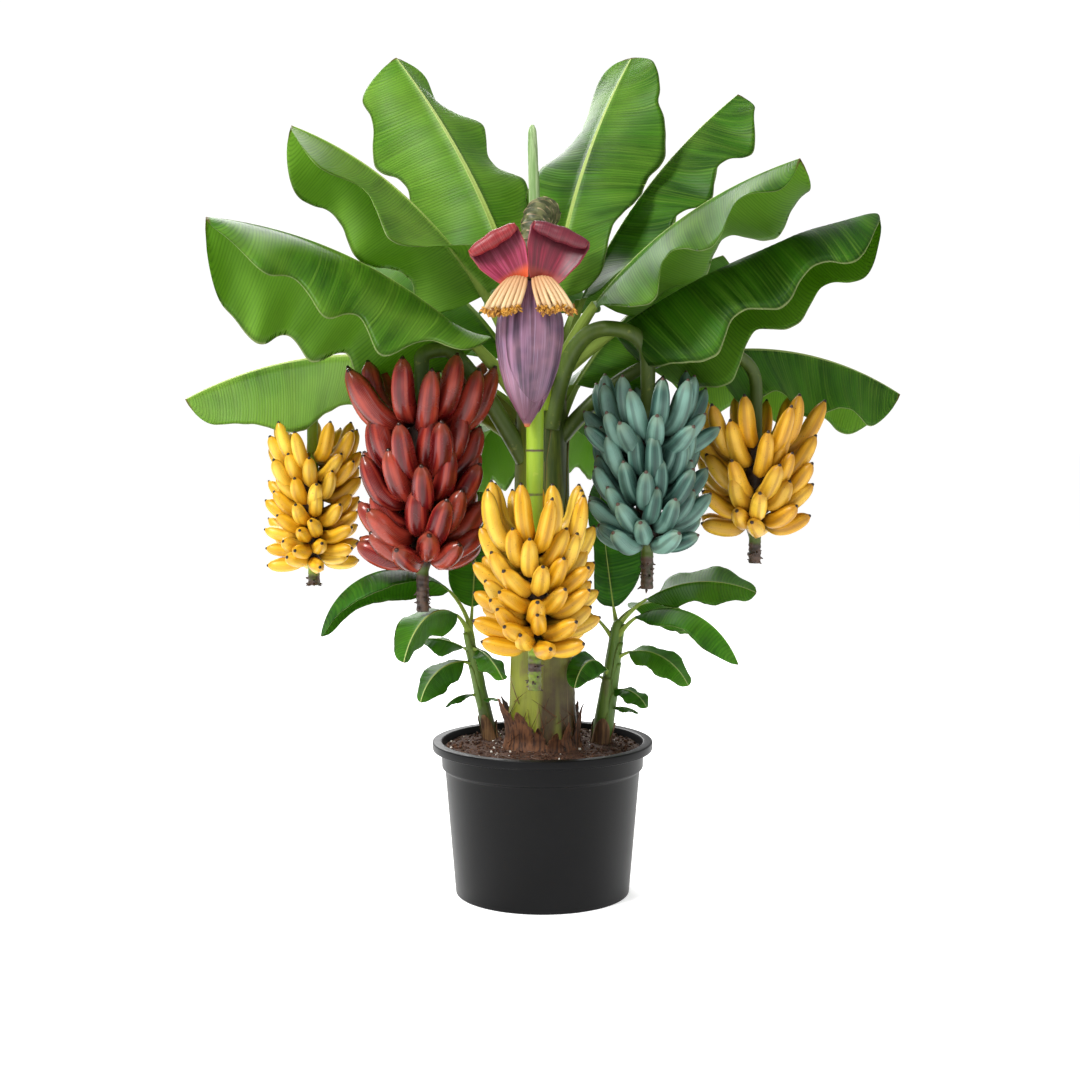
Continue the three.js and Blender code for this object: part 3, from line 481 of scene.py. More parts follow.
# %% Leaves: the rows
CROWN = {
    "upper_left": (815, 146, 94, 46, 0.5, 145, 455, 228, 22, -34,
                   (-30, 5), (45, 0), (50, 5), (15, 3.4, 149, 305)),
    "upper_right": (820, 50, 101, 50, 0.55, 125, 450, 208, 12, -5,
                    (30, 0), (1, 12), (9, 32), (32, 1.4, 240, 350), 0,
                    ((1, 0.5, 0.16, 0.07), (1, 0.79, 0.07, 0.03))),
    "left_high": (805, 191, 69, 50, 1.3, 156, 396, 210, -33, -40,
                  (-70, 20), (100, 37), (-10, -6), (32, 2.2, 298, 257)),
    "left_middle": (767, 198, 56, 52, 1, 126, 463, 325, -28, -45,
                    (-16, 10), (75, 0), (38, 30), (27, 3.8, 188, 344)),
    "left_low": (741, 152, 51, 80, 0.72, 175, 440, 208, 3, -2,
                 (50, 0), (70, 20), (0, 25), (17, 2, 198, 191), 38),
    "right_rear": (790, 30, 90, 54, 0.55, 158, 464, 204, 0, 0,
                   (40, -20), (55, 27), (20, 6), (14, 3.7, 0, 300)),
    "right_high": (810, -24, 76, 61, 0.7, 141, 386, 290, -8, 19,
                   (51, 19), (27, 34), (-22, 3), (18, 2.7, 317, 21)),
    "right_middle": (822, -5, 40, 29, 1.1, 110, 446, 320, 1, 31,
                     (3, 15), (95, 12), (45, 74), (16, 3.3, 298, 321)),
    "right_low": (720, 22, 50, 83, 0.94, 218, 418, 228, 0, 9,
                  (18, -14), (60, 55), (-2, 5), (17, 2.8, 52, 28), -18),
    "rear_left": (775, 134, 62, 62, 1, 90, 420, 200, 0, 0,
                  (0, 0), (45, 45), (20, 20), (14, 3, 0, 130)),
    "rear_right": (745, 36, 63, 48, 1, 70, 390, 220, 0, 0,
                   (0, 0), (35, 35), (20, 20), (12, 3, 60, 200)),
    "rear_high": (800, 92, 70, 72, 1, 140, 440, 230, 0, 0,
                  (-20, -20), (40, 40), (20, 20), (15, 3, 100, 240)),
    "rear_low_left": (700, 112, 42, 90, 0.9, 90, 400, 260, 0, 0,
                      (10, 10), (70, 70), (20, 20), (14, 3, 30, 180)),
    "rear_low_right": (684, 66, 46, 88, 1, 90, 380, 250, 0, 0,
                       (20, 20), (68, 68), (14, 14), (10, 3, 60, 210)),
}
CROWN = {name: Leaf(*row) for name, row in CROWN.items()}
# How much light green each crown leaf gets: partly its own tone, partly painted light on the left leaves
# and painted shade on the right ones.
LEAF_LIGHTNESS = {"upper_left": 0.6, "left_high": 0.65, "left_middle": 0.5, "left_low": 0.65,
              "right_rear": 0.35, "right_middle": 0.15, "right_low": 0.3}
# The last rows of each sucker are small leaves that the plain solids leave out.
LEFT = [
    (375, 201, 91, 172, 1.08, 112, 275, 88, -24, -12, (23, 40), (42, 59), (17, 66), (6, 1.2, 32, 100)),
    (404, 240, 64, 133, 0.9, 55, 180, 82, 15, -9, (17, 19), (77, 22), (40, -8), (4, 2.2, 162, 356)),
    (371, 159, 46, 55, 0.75, 20, 75, 52, 5, 6, (20, 20), (30, 22), (10, 0), (5, 1.2, 93, 168)),
    (351, 211, 53, 130, 0.67, 26, 108, 60, 15, 0, (22, 18), (57, 20), (28, -11), (3, 1.8, 204, 114)),
    (382, -58, 14, 59, 0.7, 22, 88, 44, 0, 0, (19, 20), (19, 18), (7, 8), (5, 2, 100, 225)),
    (390, 75, 80, 5, 1, 60, 190, 80, 0, 0, (-20, -20), (-10, -10), (-10, -10), (5, 2, 0, 100)),
    (300, 195, 40, 95, 0.9, 18, 52, 22, 0, 0, (20, 20), (30, 30), (10, 10), (2, 1.5, 0, 90)),
    (296, 300, 30, 40, 1, 12, 44, 20, 0, 0, (20, 20), (20, 20), (10, 10), (2, 1.5, 50, 20)),
]
RIGHT = [
    (416, 119, 72, -9, 1.1, 38, 208, 106, -10, 0, (16, 24), (-14, -16), (-28, -18), (6, 1.2, 282, 273)),
    (420, -4, 58, 83, 0.92, 66, 183, 96, -2, -11, (29, 19), (-10, 21), (-4, 10), (4, 2.5, 213, 78)),
    (392, -36, 68, 134, 0.9, 66, 220, 92, 10, 8, (24, 24), (40, 34), (10, 7), (4, 2, 160, 61)),
    (421, 34, 67, 120, 0.65, 44, 162, 100, -8, -12, (20, 24), (19, 31), (-9, 8), (3, 2.2, 27, 237)),
    (359, -26, 67, 130, 0.7, 40, 121, 60, -11, 3, (16, 22), (8, 25), (-15, 9), (3, 2.2, 4, 153)),
    (313, -34, 45, 105, 0.85, 17, 68, 46, -4, -4, (16, 16), (10, 14), (0, 5), (3, 2.1, 280, 176)),
    (336, 240, 57, 127, 1.26, 29, 118, 46, 17, -5, (20, 11), (29, 0), (9, -20), (4, 1.1, 58, 0)),
    (330, 205, 45, 60, 1, 20, 66, 40, 0, 0, (20, 20), (20, 20), (10, 10), (4, 1.5, 0, 90)),
    (285, -20, 35, 70, 1, 14, 46, 22, 0, 0, (20, 20), (20, 20), (10, 10), (2, 1.5, 50, 20)),
    (395, 165, 62, 40, 1, 46, 60, 30, 0, 0, (20, 20), (20, 20), (10, 10), (3, 1.5, 50, 20)),
]
# foot, lean, height, radii at foot, middle and top, leaves, how many leaves have a solid
Sucker = namedtuple("Sucker", "foot lean top radii rows solid")
SUCKERS = {"left": Sucker((-84, 60), -0.21, 412, (13, 10, 7), [Leaf(*row) for row in LEFT], 6),
           "right": Sucker((94, 30), 0.14, 428, (17, 13, 9), [Leaf(*row) for row in RIGHT], 7)}
print(len(CROWN), "leaves on the stem,", len(LEFT), "and", len(RIGHT), "on the suckers")

# %% [markdown]
# ## Growing the leaves
#
# The rows go through the rule one by one into two heaps, because the young leaves of the suckers
# are darker and more finely veined. Sucker leaves are a tenth wider than their plain solids,
# because their outline is rounder and holds less leaf for the same width.

# %% Leaves: grow them
crown = Heap()
for name, leaf in CROWN.items():
    rings, facts = leaf_rings(leaf, on_stem(leaf.foot, leaf.heading), CROWN_MAKE)
    crown.add(rings, shade=LEAF_LIGHTNESS.get(name, 0.4), **facts)
crown.build("crown_leaves", crown_green, "leaf", [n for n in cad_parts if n.startswith("leaf_")])

suckers = Heap()
for sucker in SUCKERS.values():
    for leaf in sucker.rows:
        start = centre_line(np.float64(leaf.foot), sucker.foot, sucker.lean)
        rings, facts = leaf_rings(leaf._replace(width=leaf.width * 1.1), start, SUCKER_MAKE)
        suckers.add(rings, shade=rng.uniform(0.2, 0.8), **facts)
suckers.build("sucker_leaves", sucker_green, "sucker_leaf",
              [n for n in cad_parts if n.startswith("sucker_") and "_leaf_" in n])

# %% [markdown]
# ## Fruit colours
#
# Peel has five flat sides. It is painted lighter along five lines round the fruit, a painted
# highlight, and darker between them, a painted shade. It is greener at the neck, and darkened there
# as a painted shade where the bananas crowd together, browner towards the tip, and ends in a dry
# black button where the flower was. Small dots and scuffs come with ripeness. Facts: `w` from neck
# to tip, `turn` round the fruit and `pick`, a number of its own for each banana, so that neighbours
# differ.

# %% Fruit: peel colours
def peel_paint(name, base, light, shade, neck, tip, specks, rough, ridge_highlight):
    p = Paint(name)
    w, turn, pick = p.facts("w turn pick")
    mottle = p.noise(38.0, 4.0)
    cloud = p.noise(11.0, 2.0)
    ridge = p.maths("SINE", turn * (5 * TURN)) * 0.5 + 0.5
    body = p.mix(p.span(cloud + pick * 0.35 - 0.17, 0.35, 0.75), base, light)
    # Painted highlight along five lines round the fruit, and painted shade on the peel between them.
    body = p.mix(p.span(ridge, 0.7, 1.0) * ridge_highlight, body, light)
    body = p.mix((1.0 - p.span(ridge, 0.0, 0.5)) * 0.5, body, shade)
    body = p.mix(p.span(mottle, 0.5, 0.8) * 0.3, body, shade)
    body = p.mix(p.span(pick, 0.7, 1.0) * 0.4, body, shade)
    # The neck colour is the peel's greener neck, darkened as a painted shade where the bananas crowd
    # together at the stalk.
    body = p.mix(1.0 - p.span(w, 0.1, 0.44), body, neck)
    body = p.mix(p.span(w, 0.82, 0.96) * 0.7, body, tip[0])
    body = p.mix(p.span(p.noise(420.0, 1.0), 0.7, 0.76) * specks, body, "4a2c12")
    scuffs = p.noise(70.0, 5.0, 0.7)
    body = p.mix(p.span(scuffs, 0.66, 0.74) * (specks * 0.7), body, "6e4518")
    body = p.mix(p.span(w + mottle * 0.01, 0.972, 0.984), body, tip[1])
    normal = p.bump(mottle * 0.4 + scuffs * 0.4 + p.noise(160.0, 2.0) * 0.2, 0.25, 0.001)
    return p.finish(body, mottle * 0.16 + rough, normal, Specular_IOR_Level=0.45)


# Each neck colour is partly the neck's own green and partly painted shade between the bananas.
PEELS = {
    "front": peel_paint("yellow peel", "d49c11", "f3cf4c", "946507", "807012",
                        ("c98f14", "2a1a10"), 0.8, 0.34, 0.35),
    "red": peel_paint("red peel", "6c0f12", "b24532", "250607", "260a08",
                      ("84402c", "331b14"), 0.15, 0.18, 0.6),
    "blue": peel_paint("blue green peel", "34594f", "7aa294", "142924", "28392b",
                       ("6c8470", "4e382e"), 0.15, 0.42, 0.5),
    "gold_right": peel_paint("golden peel", "cd9412", "efc23c", "8e5f0a", "7a5f12",
                             ("b37a12", "2e1b10"), 0.7, 0.34, 0.35),
    "yellow_left": peel_paint("deep yellow peel", "dba614", "f6d048", "a3760e", "8c7416",
                              ("cf9612", "18110c"), 0.5, 0.34, 0.35),
}
print("peels:", ", ".join(PEELS))

# %% [markdown]
# ## A hand of fruit
#
# Each banana is the letter J: it leaves the stalk sideways, sags, and turns up towards the light.
# Fruit grow in *hands* of two rows round the stalk, the inner row a little higher and steeper.
# All the bananas of a hand are worked out at once, as one array.

# %% Fruit: the shape of a banana
NECK_TO_TIP = ([0, 0.1, 0.2, 0.32, 0.5, 0.7, 0.82, 0.9, 0.945, 0.968, 0.976, 0.99, 1],
               [0.36, 0.36, 0.68, 0.95, 1, 0.98, 0.87, 0.66, 0.42, 0.24, 0.2, 0.19, 0.12])
FINGER_RINGS, FINGER_SIDES, SEAT = 22, 11, 7.0


def finger_rings(turns, elbows, lengths, girth, first, last, swings):
    """Rings of many bananas at once, as an array (bananas, rings, points, 3). Along a banana the
    slope turns smoothly from first to last within the first 72% of its length. The path is the
    running sum of its direction, set so that its lowest point is at the elbow's height."""
    w = np.interp(np.linspace(0, 1, FINGER_RINGS), [0, 0.72, 0.93, 1], [0, 0.86, 0.972, 1])
    ease = np.clip(w / 0.72, 0, 1)
    ease = ease * ease * (3 - 2 * ease)
    slope = np.radians(first[:, None] + (last - first)[:, None] * ease)
    step = np.diff(w)[None] * lengths[:, None]
    mid = (slope[:, 1:] + slope[:, :-1]) / 2
    zero = np.zeros((len(turns), 1))
    out = np.concatenate([zero, np.cumsum(np.cos(mid) * step, 1)], 1) + SEAT
    high = np.concatenate([zero, np.cumsum(np.sin(mid) * step, 1)], 1)
    high = high - high.min(1, keepdims=True) + elbows[:, None]
    turn = turns[:, None] + swings[:, None] * w
    side = rays(turn + TURN / 4)
    up = np.array([0, 0, 1.0])
    path = out[..., None] * rays(turn) + high[..., None] * up
    lift = np.cos(slope)[..., None] * up - np.sin(slope)[..., None] * rays(turn)
    angle = circle(FINGER_SIDES)
    corner = 1 + 0.065 * np.cos(5 * angle + turns[:, None] * 7)
    size = girth[:, None, None] / 2 * np.interp(w, *NECK_TO_TIP)[None, :, None] * corner[:, None]
    return path[:, :, None] + size[..., None] * (np.cos(angle)[:, None] * side[:, :, None]
                                                 + np.sin(angle)[:, None] * lift[:, :, None]), w


print("a banana has", FINGER_RINGS, "rings of", FINGER_SIDES, "points")

# %% [markdown]
# ## Bunches
#
# A bunch is a stack of hands that get smaller down the stalk, each turned by 2.4 radians from the
# one above, so that fruit sit over gaps. Every banana is off the rule a little in place, length,
# girth and slope. A bunch has its own dice, so changing one leaves the others as they are.

# %% Fruit: the bunches
def grow_bunch(name, slot, at, girth, seed, hands):
    """A bunch: each row of hands is (elbow height, length, bananas, last slope)."""
    dice = np.random.default_rng(seed)
    heap = Heap()
    for order, (elbow, length, count, last) in enumerate(hands):
        i = np.arange(count)
        inner = i % 2
        turns = 2.4 * order + TURN * (i + dice.normal(0, 0.1, count)) / count
        lengths = length * (1.2 - 0.08 * inner) * (1 + dice.normal(0, 0.04, count))
        lasts = np.minimum(last + 8 * inner, 84) + dice.normal(0, 3.5, count)
        firsts = -34 + 0.25 * last + 6 * inner + dice.normal(0, 4, count)
        elbows = elbow + girth * 0.42 * inner + girth / 2 + dice.normal(0, 2, count)
        girths = girth * (1 + dice.normal(0, 0.03, count))
        swings = dice.normal(0, 0.12, count)
        rings, w = finger_rings(turns, elbows, lengths, girths, firsts, lasts, swings)
        for banana in (rings + [*at, 0]) * MM:
            heap.add(banana, w=w[:, None], turn=circle(FINGER_SIDES) / TURN, pick=dice.uniform())
    heap.build(f"{name}_bananas", PEELS[name], slot, [f"bunch_{name}"])


grow_bunch("front", "fruit_yellow", (-12, -148), 27, 3, [
    (556, 108, 13, 80), (522, 88, 12, 60), (490, 82, 13, 44), (456, 80, 13, 34), (424, 78, 12, 28),
    (402, 70, 9, 16)])
grow_bunch("red", "fruit_red", (-187, -38), 36, 16, [
    (726, 130, 13, 66), (655, 112, 13, 72), (606, 108, 12, 62), (556, 98, 12, 58), (520, 86, 11, 30)])
grow_bunch("blue", "fruit_blue_green", (161, -70), 27.5, 8, [
    (722, 104, 14, 72), (694, 98, 13, 40), (652, 92, 14, 68), (614, 88, 14, 58), (580, 84, 13, 48),
    (552, 74, 11, 28)])
grow_bunch("gold_right", "fruit_golden", (337, 14), 27.5, 11, [
    (692, 112, 10, 66), (660, 100, 11, 60), (627, 92, 11, 52), (596, 86, 10, 40), (568, 72, 9, 22)])
grow_bunch("yellow_left", "fruit_deep_yellow", (-378, 130), 24, 13, [
    (668, 84, 11, 62), (638, 76, 11, 48), (608, 72, 11, 46), (579, 68, 11, 38), (550, 66, 11, 26),
    (522, 64, 10, 12), (502, 60, 8, 2)])

# %% [markdown]
# ## Stalks
#
# A fruit stalk climbs out of the top of the stem, arches over and hangs straight down through its
# bunch, pulled plumb by the weight. Its path is two bends of one kind, each drawn from where it
# starts to where it ends by a corner that both ends point at.

# %% Stalks: colours and paths
def stalk_paint():
    p = Paint("stalk")
    green, old = p.facts("green old")
    streak = p.noise(14.0, 4.0, 0.6, (6, 6, 0.5))
    spots = p.noise(90.0, 3.0)
    body = p.mix(green, "3c4f17", "93ad24")
    body = p.mix(p.span(streak, 0.35, 0.7) * 0.55, body, p.mix(green, "26380f", "6f9a1c"))
    body = p.mix(p.span(spots, 0.6, 0.75) * 0.25, body, "c3c25a")
    brown = p.mix(p.span(spots, 0.35, 0.65), "2a1d17", "564236")
    # Brown where the stalk is dry, and also inside a bunch, where the brown is painted shade.
    body = p.mix(p.span(old + (spots - 0.5) * 0.5, 0.35, 0.75), body, brown)
    return p.finish(body, spots * 0.2 + 0.38, p.bump(streak * 0.6 + spots * 0.4, 0.35, 0.0015))


def bezier(a, b, c, n):
    """n points on the curve that leaves a towards b and arrives at c from b."""
    t = np.linspace(0, 1, n)[:, None]
    a, b, c = (np.asarray(q, float) for q in (a, b, c))
    return (1 - t) ** 2 * a + 2 * t * (1 - t) * b + t * t * c


def arch(start, apex, end, climb, n=36):
    """The path of a stalk: up at the angle climb, level at the apex, then down to end."""
    start, apex, end = (np.asarray(q, float) for q in (start, apex, end))
    flat = apex[:2] - start[:2]
    reach = min(np.linalg.norm(flat), (apex[2] - start[2]) / math.tan(math.radians(climb)))
    corner = [*(start[:2] + flat / np.linalg.norm(flat) * reach), apex[2]]
    return np.concatenate([bezier(start, corner, apex, n),
                           bezier(apex, [end[0], end[1], apex[2]], end, n)[1:]])


def evenly(path, n):
    """The same path with n points an equal way apart, and how far along each one is."""
    d = np.concatenate([[0], np.cumsum(np.linalg.norm(np.diff(path, axis=0), axis=1))])
    t = np.linspace(0, d[-1], n)
    return np.stack([np.interp(t, d, path[:, i]) for i in range(3)], -1), t


print("an arch of", len(arch((0, 0, 0), (1, 0, 1), (2, 0, 0), 60)), "points")

# %% [markdown]
# ## Growing the stalks
#
# The stalk thickens where the hands join it, so little light shows through a bunch, and inside the
# bunch it is painted dark brown, a painted shade between the bananas. Below the fruit it shrinks to
# a dry stub, scarred in a spiral and set with the knobs of fallen flowers.
# Only the green front stalk is ringed, where bracts once sat.

# %% Stalks: grow them
Stalk = namedtuple("Stalk", "at top bottom stub foot seat climb apex over radius green old")
STALKS = [Stalk(*row) for row in (
    ((-12, -148), 664, 400, 349, 772, 270, 75, 836, (-7, -94), 13, 0.95, 0.0),
    ((-187, -38), 845, 506, 455, 690, 202, 60, 862, (-150, -34), 12, 0.15, 0.3),
    ((161, -70), 838, 541, 494, 740, -66, 80, 893, (96, -74), 12, 0.12, 0.1),
    ((337, 14), 800, 554, 526, 725, -12, 52, 860, (262, -8), 10, 0.12, 0.15),
    ((-378, 130), 744, 494, 479, 705, 150, 40, 806, (-305, 152), 9, 0.8, 0.1))]
STUB_RADIUS = 9.5
RING_FIRST, RING_EVERY = 644, 65

stalks = Heap()
angle = circle(22)
for stalk in STALKS:
    path = arch(on_stem(stalk.foot, stalk.seat), (*stalk.over, stalk.apex),
                (*stalk.at, stalk.top), stalk.climb)
    path = np.concatenate([path, [[*stalk.at, z] for z in np.linspace(stalk.top, stalk.stub, 40)[1:]]])
    path, far = evenly(path, 260)
    z, late = path[:, 2], far > far[-1] * 0.4
    hanging = np.clip((stalk.top - z) / (stalk.top - stalk.stub), 0, 1) * late
    low = hanging > 0
    knot = np.minimum(np.abs((z - RING_FIRST + RING_EVERY / 2) % RING_EVERY - RING_EVERY / 2), 6) / 6
    ring = (1 - knot) * ((stalk.green > 0.9) & late)
    size = stalk.radius * (1.25 - 0.25 * np.clip(far / 200, 0, 1)) * (1 + 0.07 * (1 - knot) * ring)
    size = np.where(low, stalk.radius + (STUB_RADIUS - stalk.radius) * hanging**0.5, size)
    below = low * np.clip((stalk.bottom + 12 - z) / 12, 0, 1)
    # Inside the bunch the stalk is fattened and browned; the brown is a painted shade between the
    # bananas.
    inside = low * np.clip((stalk.top - 70 - z) / 30, 0, 1) * np.clip((z - stalk.bottom - 12) / 25, 0, 1)
    scar = 0.16 * below[:, None] * (((far[:, None] + angle * 1.6) / 9) % 1 - 0.4)
    # This age is the stalk's dryness plus the painted shade inside the bunch.
    age = np.clip(stalk.old + below * 0.6 + inside + 0.75 * ring, 0, 1)
    size = (size + 8 * inside)[:, None] * (1 + scar + 0.02 * np.cos(3 * angle))
    stalks.add(tube(path, size, 22) * MM, green=stalk.green, old=age[:, None])
    for _ in range(14):
        z, a = rng.uniform(stalk.stub + 2, stalk.bottom - 4), rng.uniform(0, 6.28)
        out = np.array([math.cos(a), math.sin(a), rng.uniform(-0.7, 0.3)])
        knob = np.array([*stalk.at, z]) + out * np.linspace(8.5, rng.uniform(12, 15), 5)[:, None]
        stalks.add(tube(knob, [2.2, 1.9, 1.4, 1.1, 0.7], 6) * MM, green=stalk.green, old=1)
stalks.build("fruit_stalks", stalk_paint(), "bunch_stalk",
             [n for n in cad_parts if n.startswith("bunch_") and "_stalk_" in n])

# %% [markdown]
# ## The stem's colours
#
# A banana has no wood. Its trunk is a roll of leaf stalks, each a long sheath wrapped round the
# younger ones: green above, on the main stem a darker green that is painted shade under the crown,
# stained reddish brown in bands near the ground, and brown and fibrous where a sheath has died. The
# noise is stretched along the stem, as the fibres run that way.

# %% Stem: colours
def stem_paint(name, low, mid, high, streaks, husk):
    p = Paint(name)
    level, age, edge = p.facts("level age edge")
    streak = p.noise(16.0, 5.0, 0.62, (3.2, 3.2, 0.22))
    band = p.noise(9.0, 1.0, 0.5, (3.4, 3.4, 0.12))
    hair = p.noise(60.0, 3.0, 0.6, (4, 4, 0.12))
    spot = p.noise(26.0, 4.0)
    # The colour runs from mid to high up the stem; on the main stem the high colour is a darker green,
    # painted shade under the crown.
    body = p.mix(p.span(level + (spot - 0.5) * 0.3, 0.12, 0.75), mid, high)
    body = p.mix(p.span(streak, 0.42, 0.66) * 0.5, body, streaks[0])
    body = p.mix(p.span(hair, 0.55, 0.75) * 0.5, body, streaks[1])
    foot = p.span(1.0 - level + (spot - 0.5) * 0.4, 0.6, 0.9)
    body = p.mix(foot * p.span(band, 0.46, 0.56) * 0.85, body, low)
    body = p.mix(foot * (1.0 - p.span(band, 0.38, 0.48)) * 0.5, body, streaks[0])
    body = p.mix(p.span(spot * 0.5 + streak * 0.5, 0.56, 0.68) * 0.5, body, "5a4030")
    dry = p.mix(p.span(hair * 0.6 + spot * 0.4, 0.38, 0.62), *husk)
    body = p.mix(p.span(age, 0.4, 0.6), body, dry)
    body = p.mix(p.span(edge, 0.82, 1.0) * 0.6, body, "8a7440")
    normal = p.bump(streak * 0.4 + hair * 0.5 + spot * 0.2, 0.6, 0.0018)
    return p.finish(body, spot * 0.2 + age * 0.2 + 0.42, normal)


# The main stem's top colour is a dark green, painted shade under the leaves; the suckers' top colour is
# their own lighter green.
stem_green = stem_paint("stem", "3a1c12", "66681a", "3c4f16", ("8a9424", "20260b"), ("2a1509", "74492a"))
shoot_green = stem_paint("shoot stem", "4c4a1c", "4c6420", "587a26", ("7d9438", "2f4216"),
                         ("4e3420", "8c6a44"))
print("stem material has", len(stem_green.node_tree.nodes), "nodes")

# %% [markdown]
# ## Rolls and sheaths
#
# Two shapes make any such stem. `roll` is its skin, with the raised seams that lean as the
# sheaths wind. `sheath` is a thin sheet wrapped part of the way round. It serves for the live
# sheath below each leaf, for the dry husks at the foot and for the scales of the flower bud.

# %% Stem: rolls and sheaths
SUNK = 231
ROUND = 0.04


def roll(centre, radius, taper, sides, seams, spread, high, soft, sunk):
    """Rings round a centre line. Each seam starts at an angle and leans by so many radians in
    spread millimetres. It is high at its edge and fades over the angle soft."""
    z, angle = centre[:, 2:3], circle(sides)
    raised = np.zeros((len(centre), sides))
    for at, lean in seams:
        past = (angle - at - lean * (z - SUNK) / spread) % TURN
        raised = np.maximum(raised, high * np.exp(-past / soft))
    size = (radius(z, angle) - sunk + raised) * taper[:, None]
    return (centre[:, None] + size[..., None] * rays(angle)) * MM, raised / high


def sheath(centre, radius, heading, half, lift, thick, k=15):
    """A thin sheet round an upright limb. centre is (n, 3), half the half-width as an angle and
    lift the sheet's height above the limb at each of n levels. radius(level, angle) is the limb.
    Returns the rings and how far round the sheet each point is, from -1 to 1."""
    s = np.linspace(-1, 1, k)
    angle = math.radians(heading) + half[:, None] * s
    base = radius(centre[:, 2:3], angle) + lift[:, None]
    outer = centre[:, None] + (base + thick * (1 - s**4))[..., None] * rays(angle)
    inner = centre[:, None] + (base - thick)[..., None] * rays(angle)
    return np.concatenate([outer, inner[:, ::-1]], 1) * MM, np.concatenate([s, s[::-1]])


def stem_radius(z, angle):
    """The main stem's radius, with three soft lobes that turn with height."""
    return np.interp(z, STEM_HEIGHTS, STEM_RADII) * (1 + ROUND * np.cos(3 * angle + z / 180))


print("the stem is", stem_radius(300.0, 0.0).round(1), "mm from centre to skin at 300 mm")

# %% [markdown]
# ## The main stem
#
# The skin comes first, then a live sheath below the foot of every leaf, the lowest leaf's outermost.
# The husks are old sheaths cut short: ragged, dry, and peeling away more towards the top. Loose
# fibres hang among them.

# %% Stem: the main stem
def stem_level(h):
    """0 at the soil and 1 near the top, for the colours."""
    return np.clip((h - 235) / 560, 0, 1)[:, None]


stem = Heap()
z = np.linspace(SUNK, 868, 110)
taper = np.interp(z, [SUNK, 846, 862, 868], [1, 1, 0.8, 0.5])
rings, edge = roll(centre_line(z), stem_radius, taper, 112,
                   ((0.4, 0.5), (1.5, -0.3), (2.7, 0.25), (3.6, -0.45), (4.5, 0.35), (5.5, -0.2)),
                   600, 2.4, 0.35, 1.2)
stem.add(rings, level=stem_level(z), age=0, edge=edge)

q = np.linspace(0, 1, 30)
half = np.interp(q, [0, 0.1, 0.5, 0.75, 0.9, 1], [0.5, 1.05, 1.0, 0.7, 0.42, 0.24])
for rank, leaf in enumerate(sorted(CROWN.values(), key=lambda leaf: -leaf.foot)):
    h = np.linspace(max(262, leaf.foot - 250), leaf.foot + 16, 30)
    lift = 3.3 * np.clip(q / 0.3, 0, 1) + 0.35 * rank * q + 4 * np.clip((q - 0.8) / 0.2, 0, 1) ** 2 - 2.5
    rings, s = sheath(centre_line(h), stem_radius, leaf.heading, half, lift, 1.3)
    stem.add(rings, level=stem_level(h), age=0, edge=s**6)

# (heading, half-width, bottom, top, how far it peels)
HUSKS = [(-122, 30, 232, 300, 22), (-96, 15, 236, 276, 14), (-150, 30, 232, 318, 26),
         (-72, 16, 232, 268, 18), (-50, 13, 232, 282, 8), (-22, 20, 232, 308, 16),
         (168, 36, 232, 312, 14), (96, 44, 232, 288, 10), (32, 30, 232, 300, 16)]
q = np.linspace(0, 1, 26)
for heading, wide, low, high, peel in HUSKS:
    jagged = np.sin(47 * q + wide) * 0.1 + np.sin(19 * q + heading) * 0.12
    half = math.radians(wide) * np.interp(q, [0, 0.35, 0.75, 1], [1, 0.8, 0.35, 0.05]) * (1 + jagged)
    lift = 0.8 + peel * q**2.2 + 1.5 * np.sin(9 * q + heading) * q
    rings, _ = sheath(centre_line(low + (high - low) * q), stem_radius, heading, half, lift, 0.5)
    stem.add(rings, level=0, age=1, edge=0)

for _ in range(70):
    h = rng.uniform(238, 312) + np.linspace(0, rng.uniform(10, 46), 9)
    a = rng.uniform(0, 6.28) + np.linspace(0, rng.uniform(-0.5, 0.5), 9)
    off = stem_radius(h, a) + 2.2 + rng.uniform(0, 7) * np.linspace(0, 1, 9) ** 2
    fibre = np.stack([off * np.cos(a), off * np.sin(a), h], -1)
    stem.add(tube(fibre, np.linspace(0.7, 0.25, 9), 4) * MM, level=0, age=1, edge=0)
stem.build("stem", stem_green, "main_stem", ["main_stem"])

# %% [markdown]
# ## The suckers
#
# Two young shoots stand beside the stem, grown from the same root. Each is a small stem of the
# same rolled sheaths, leaning out towards the light, with three short husks at its foot.

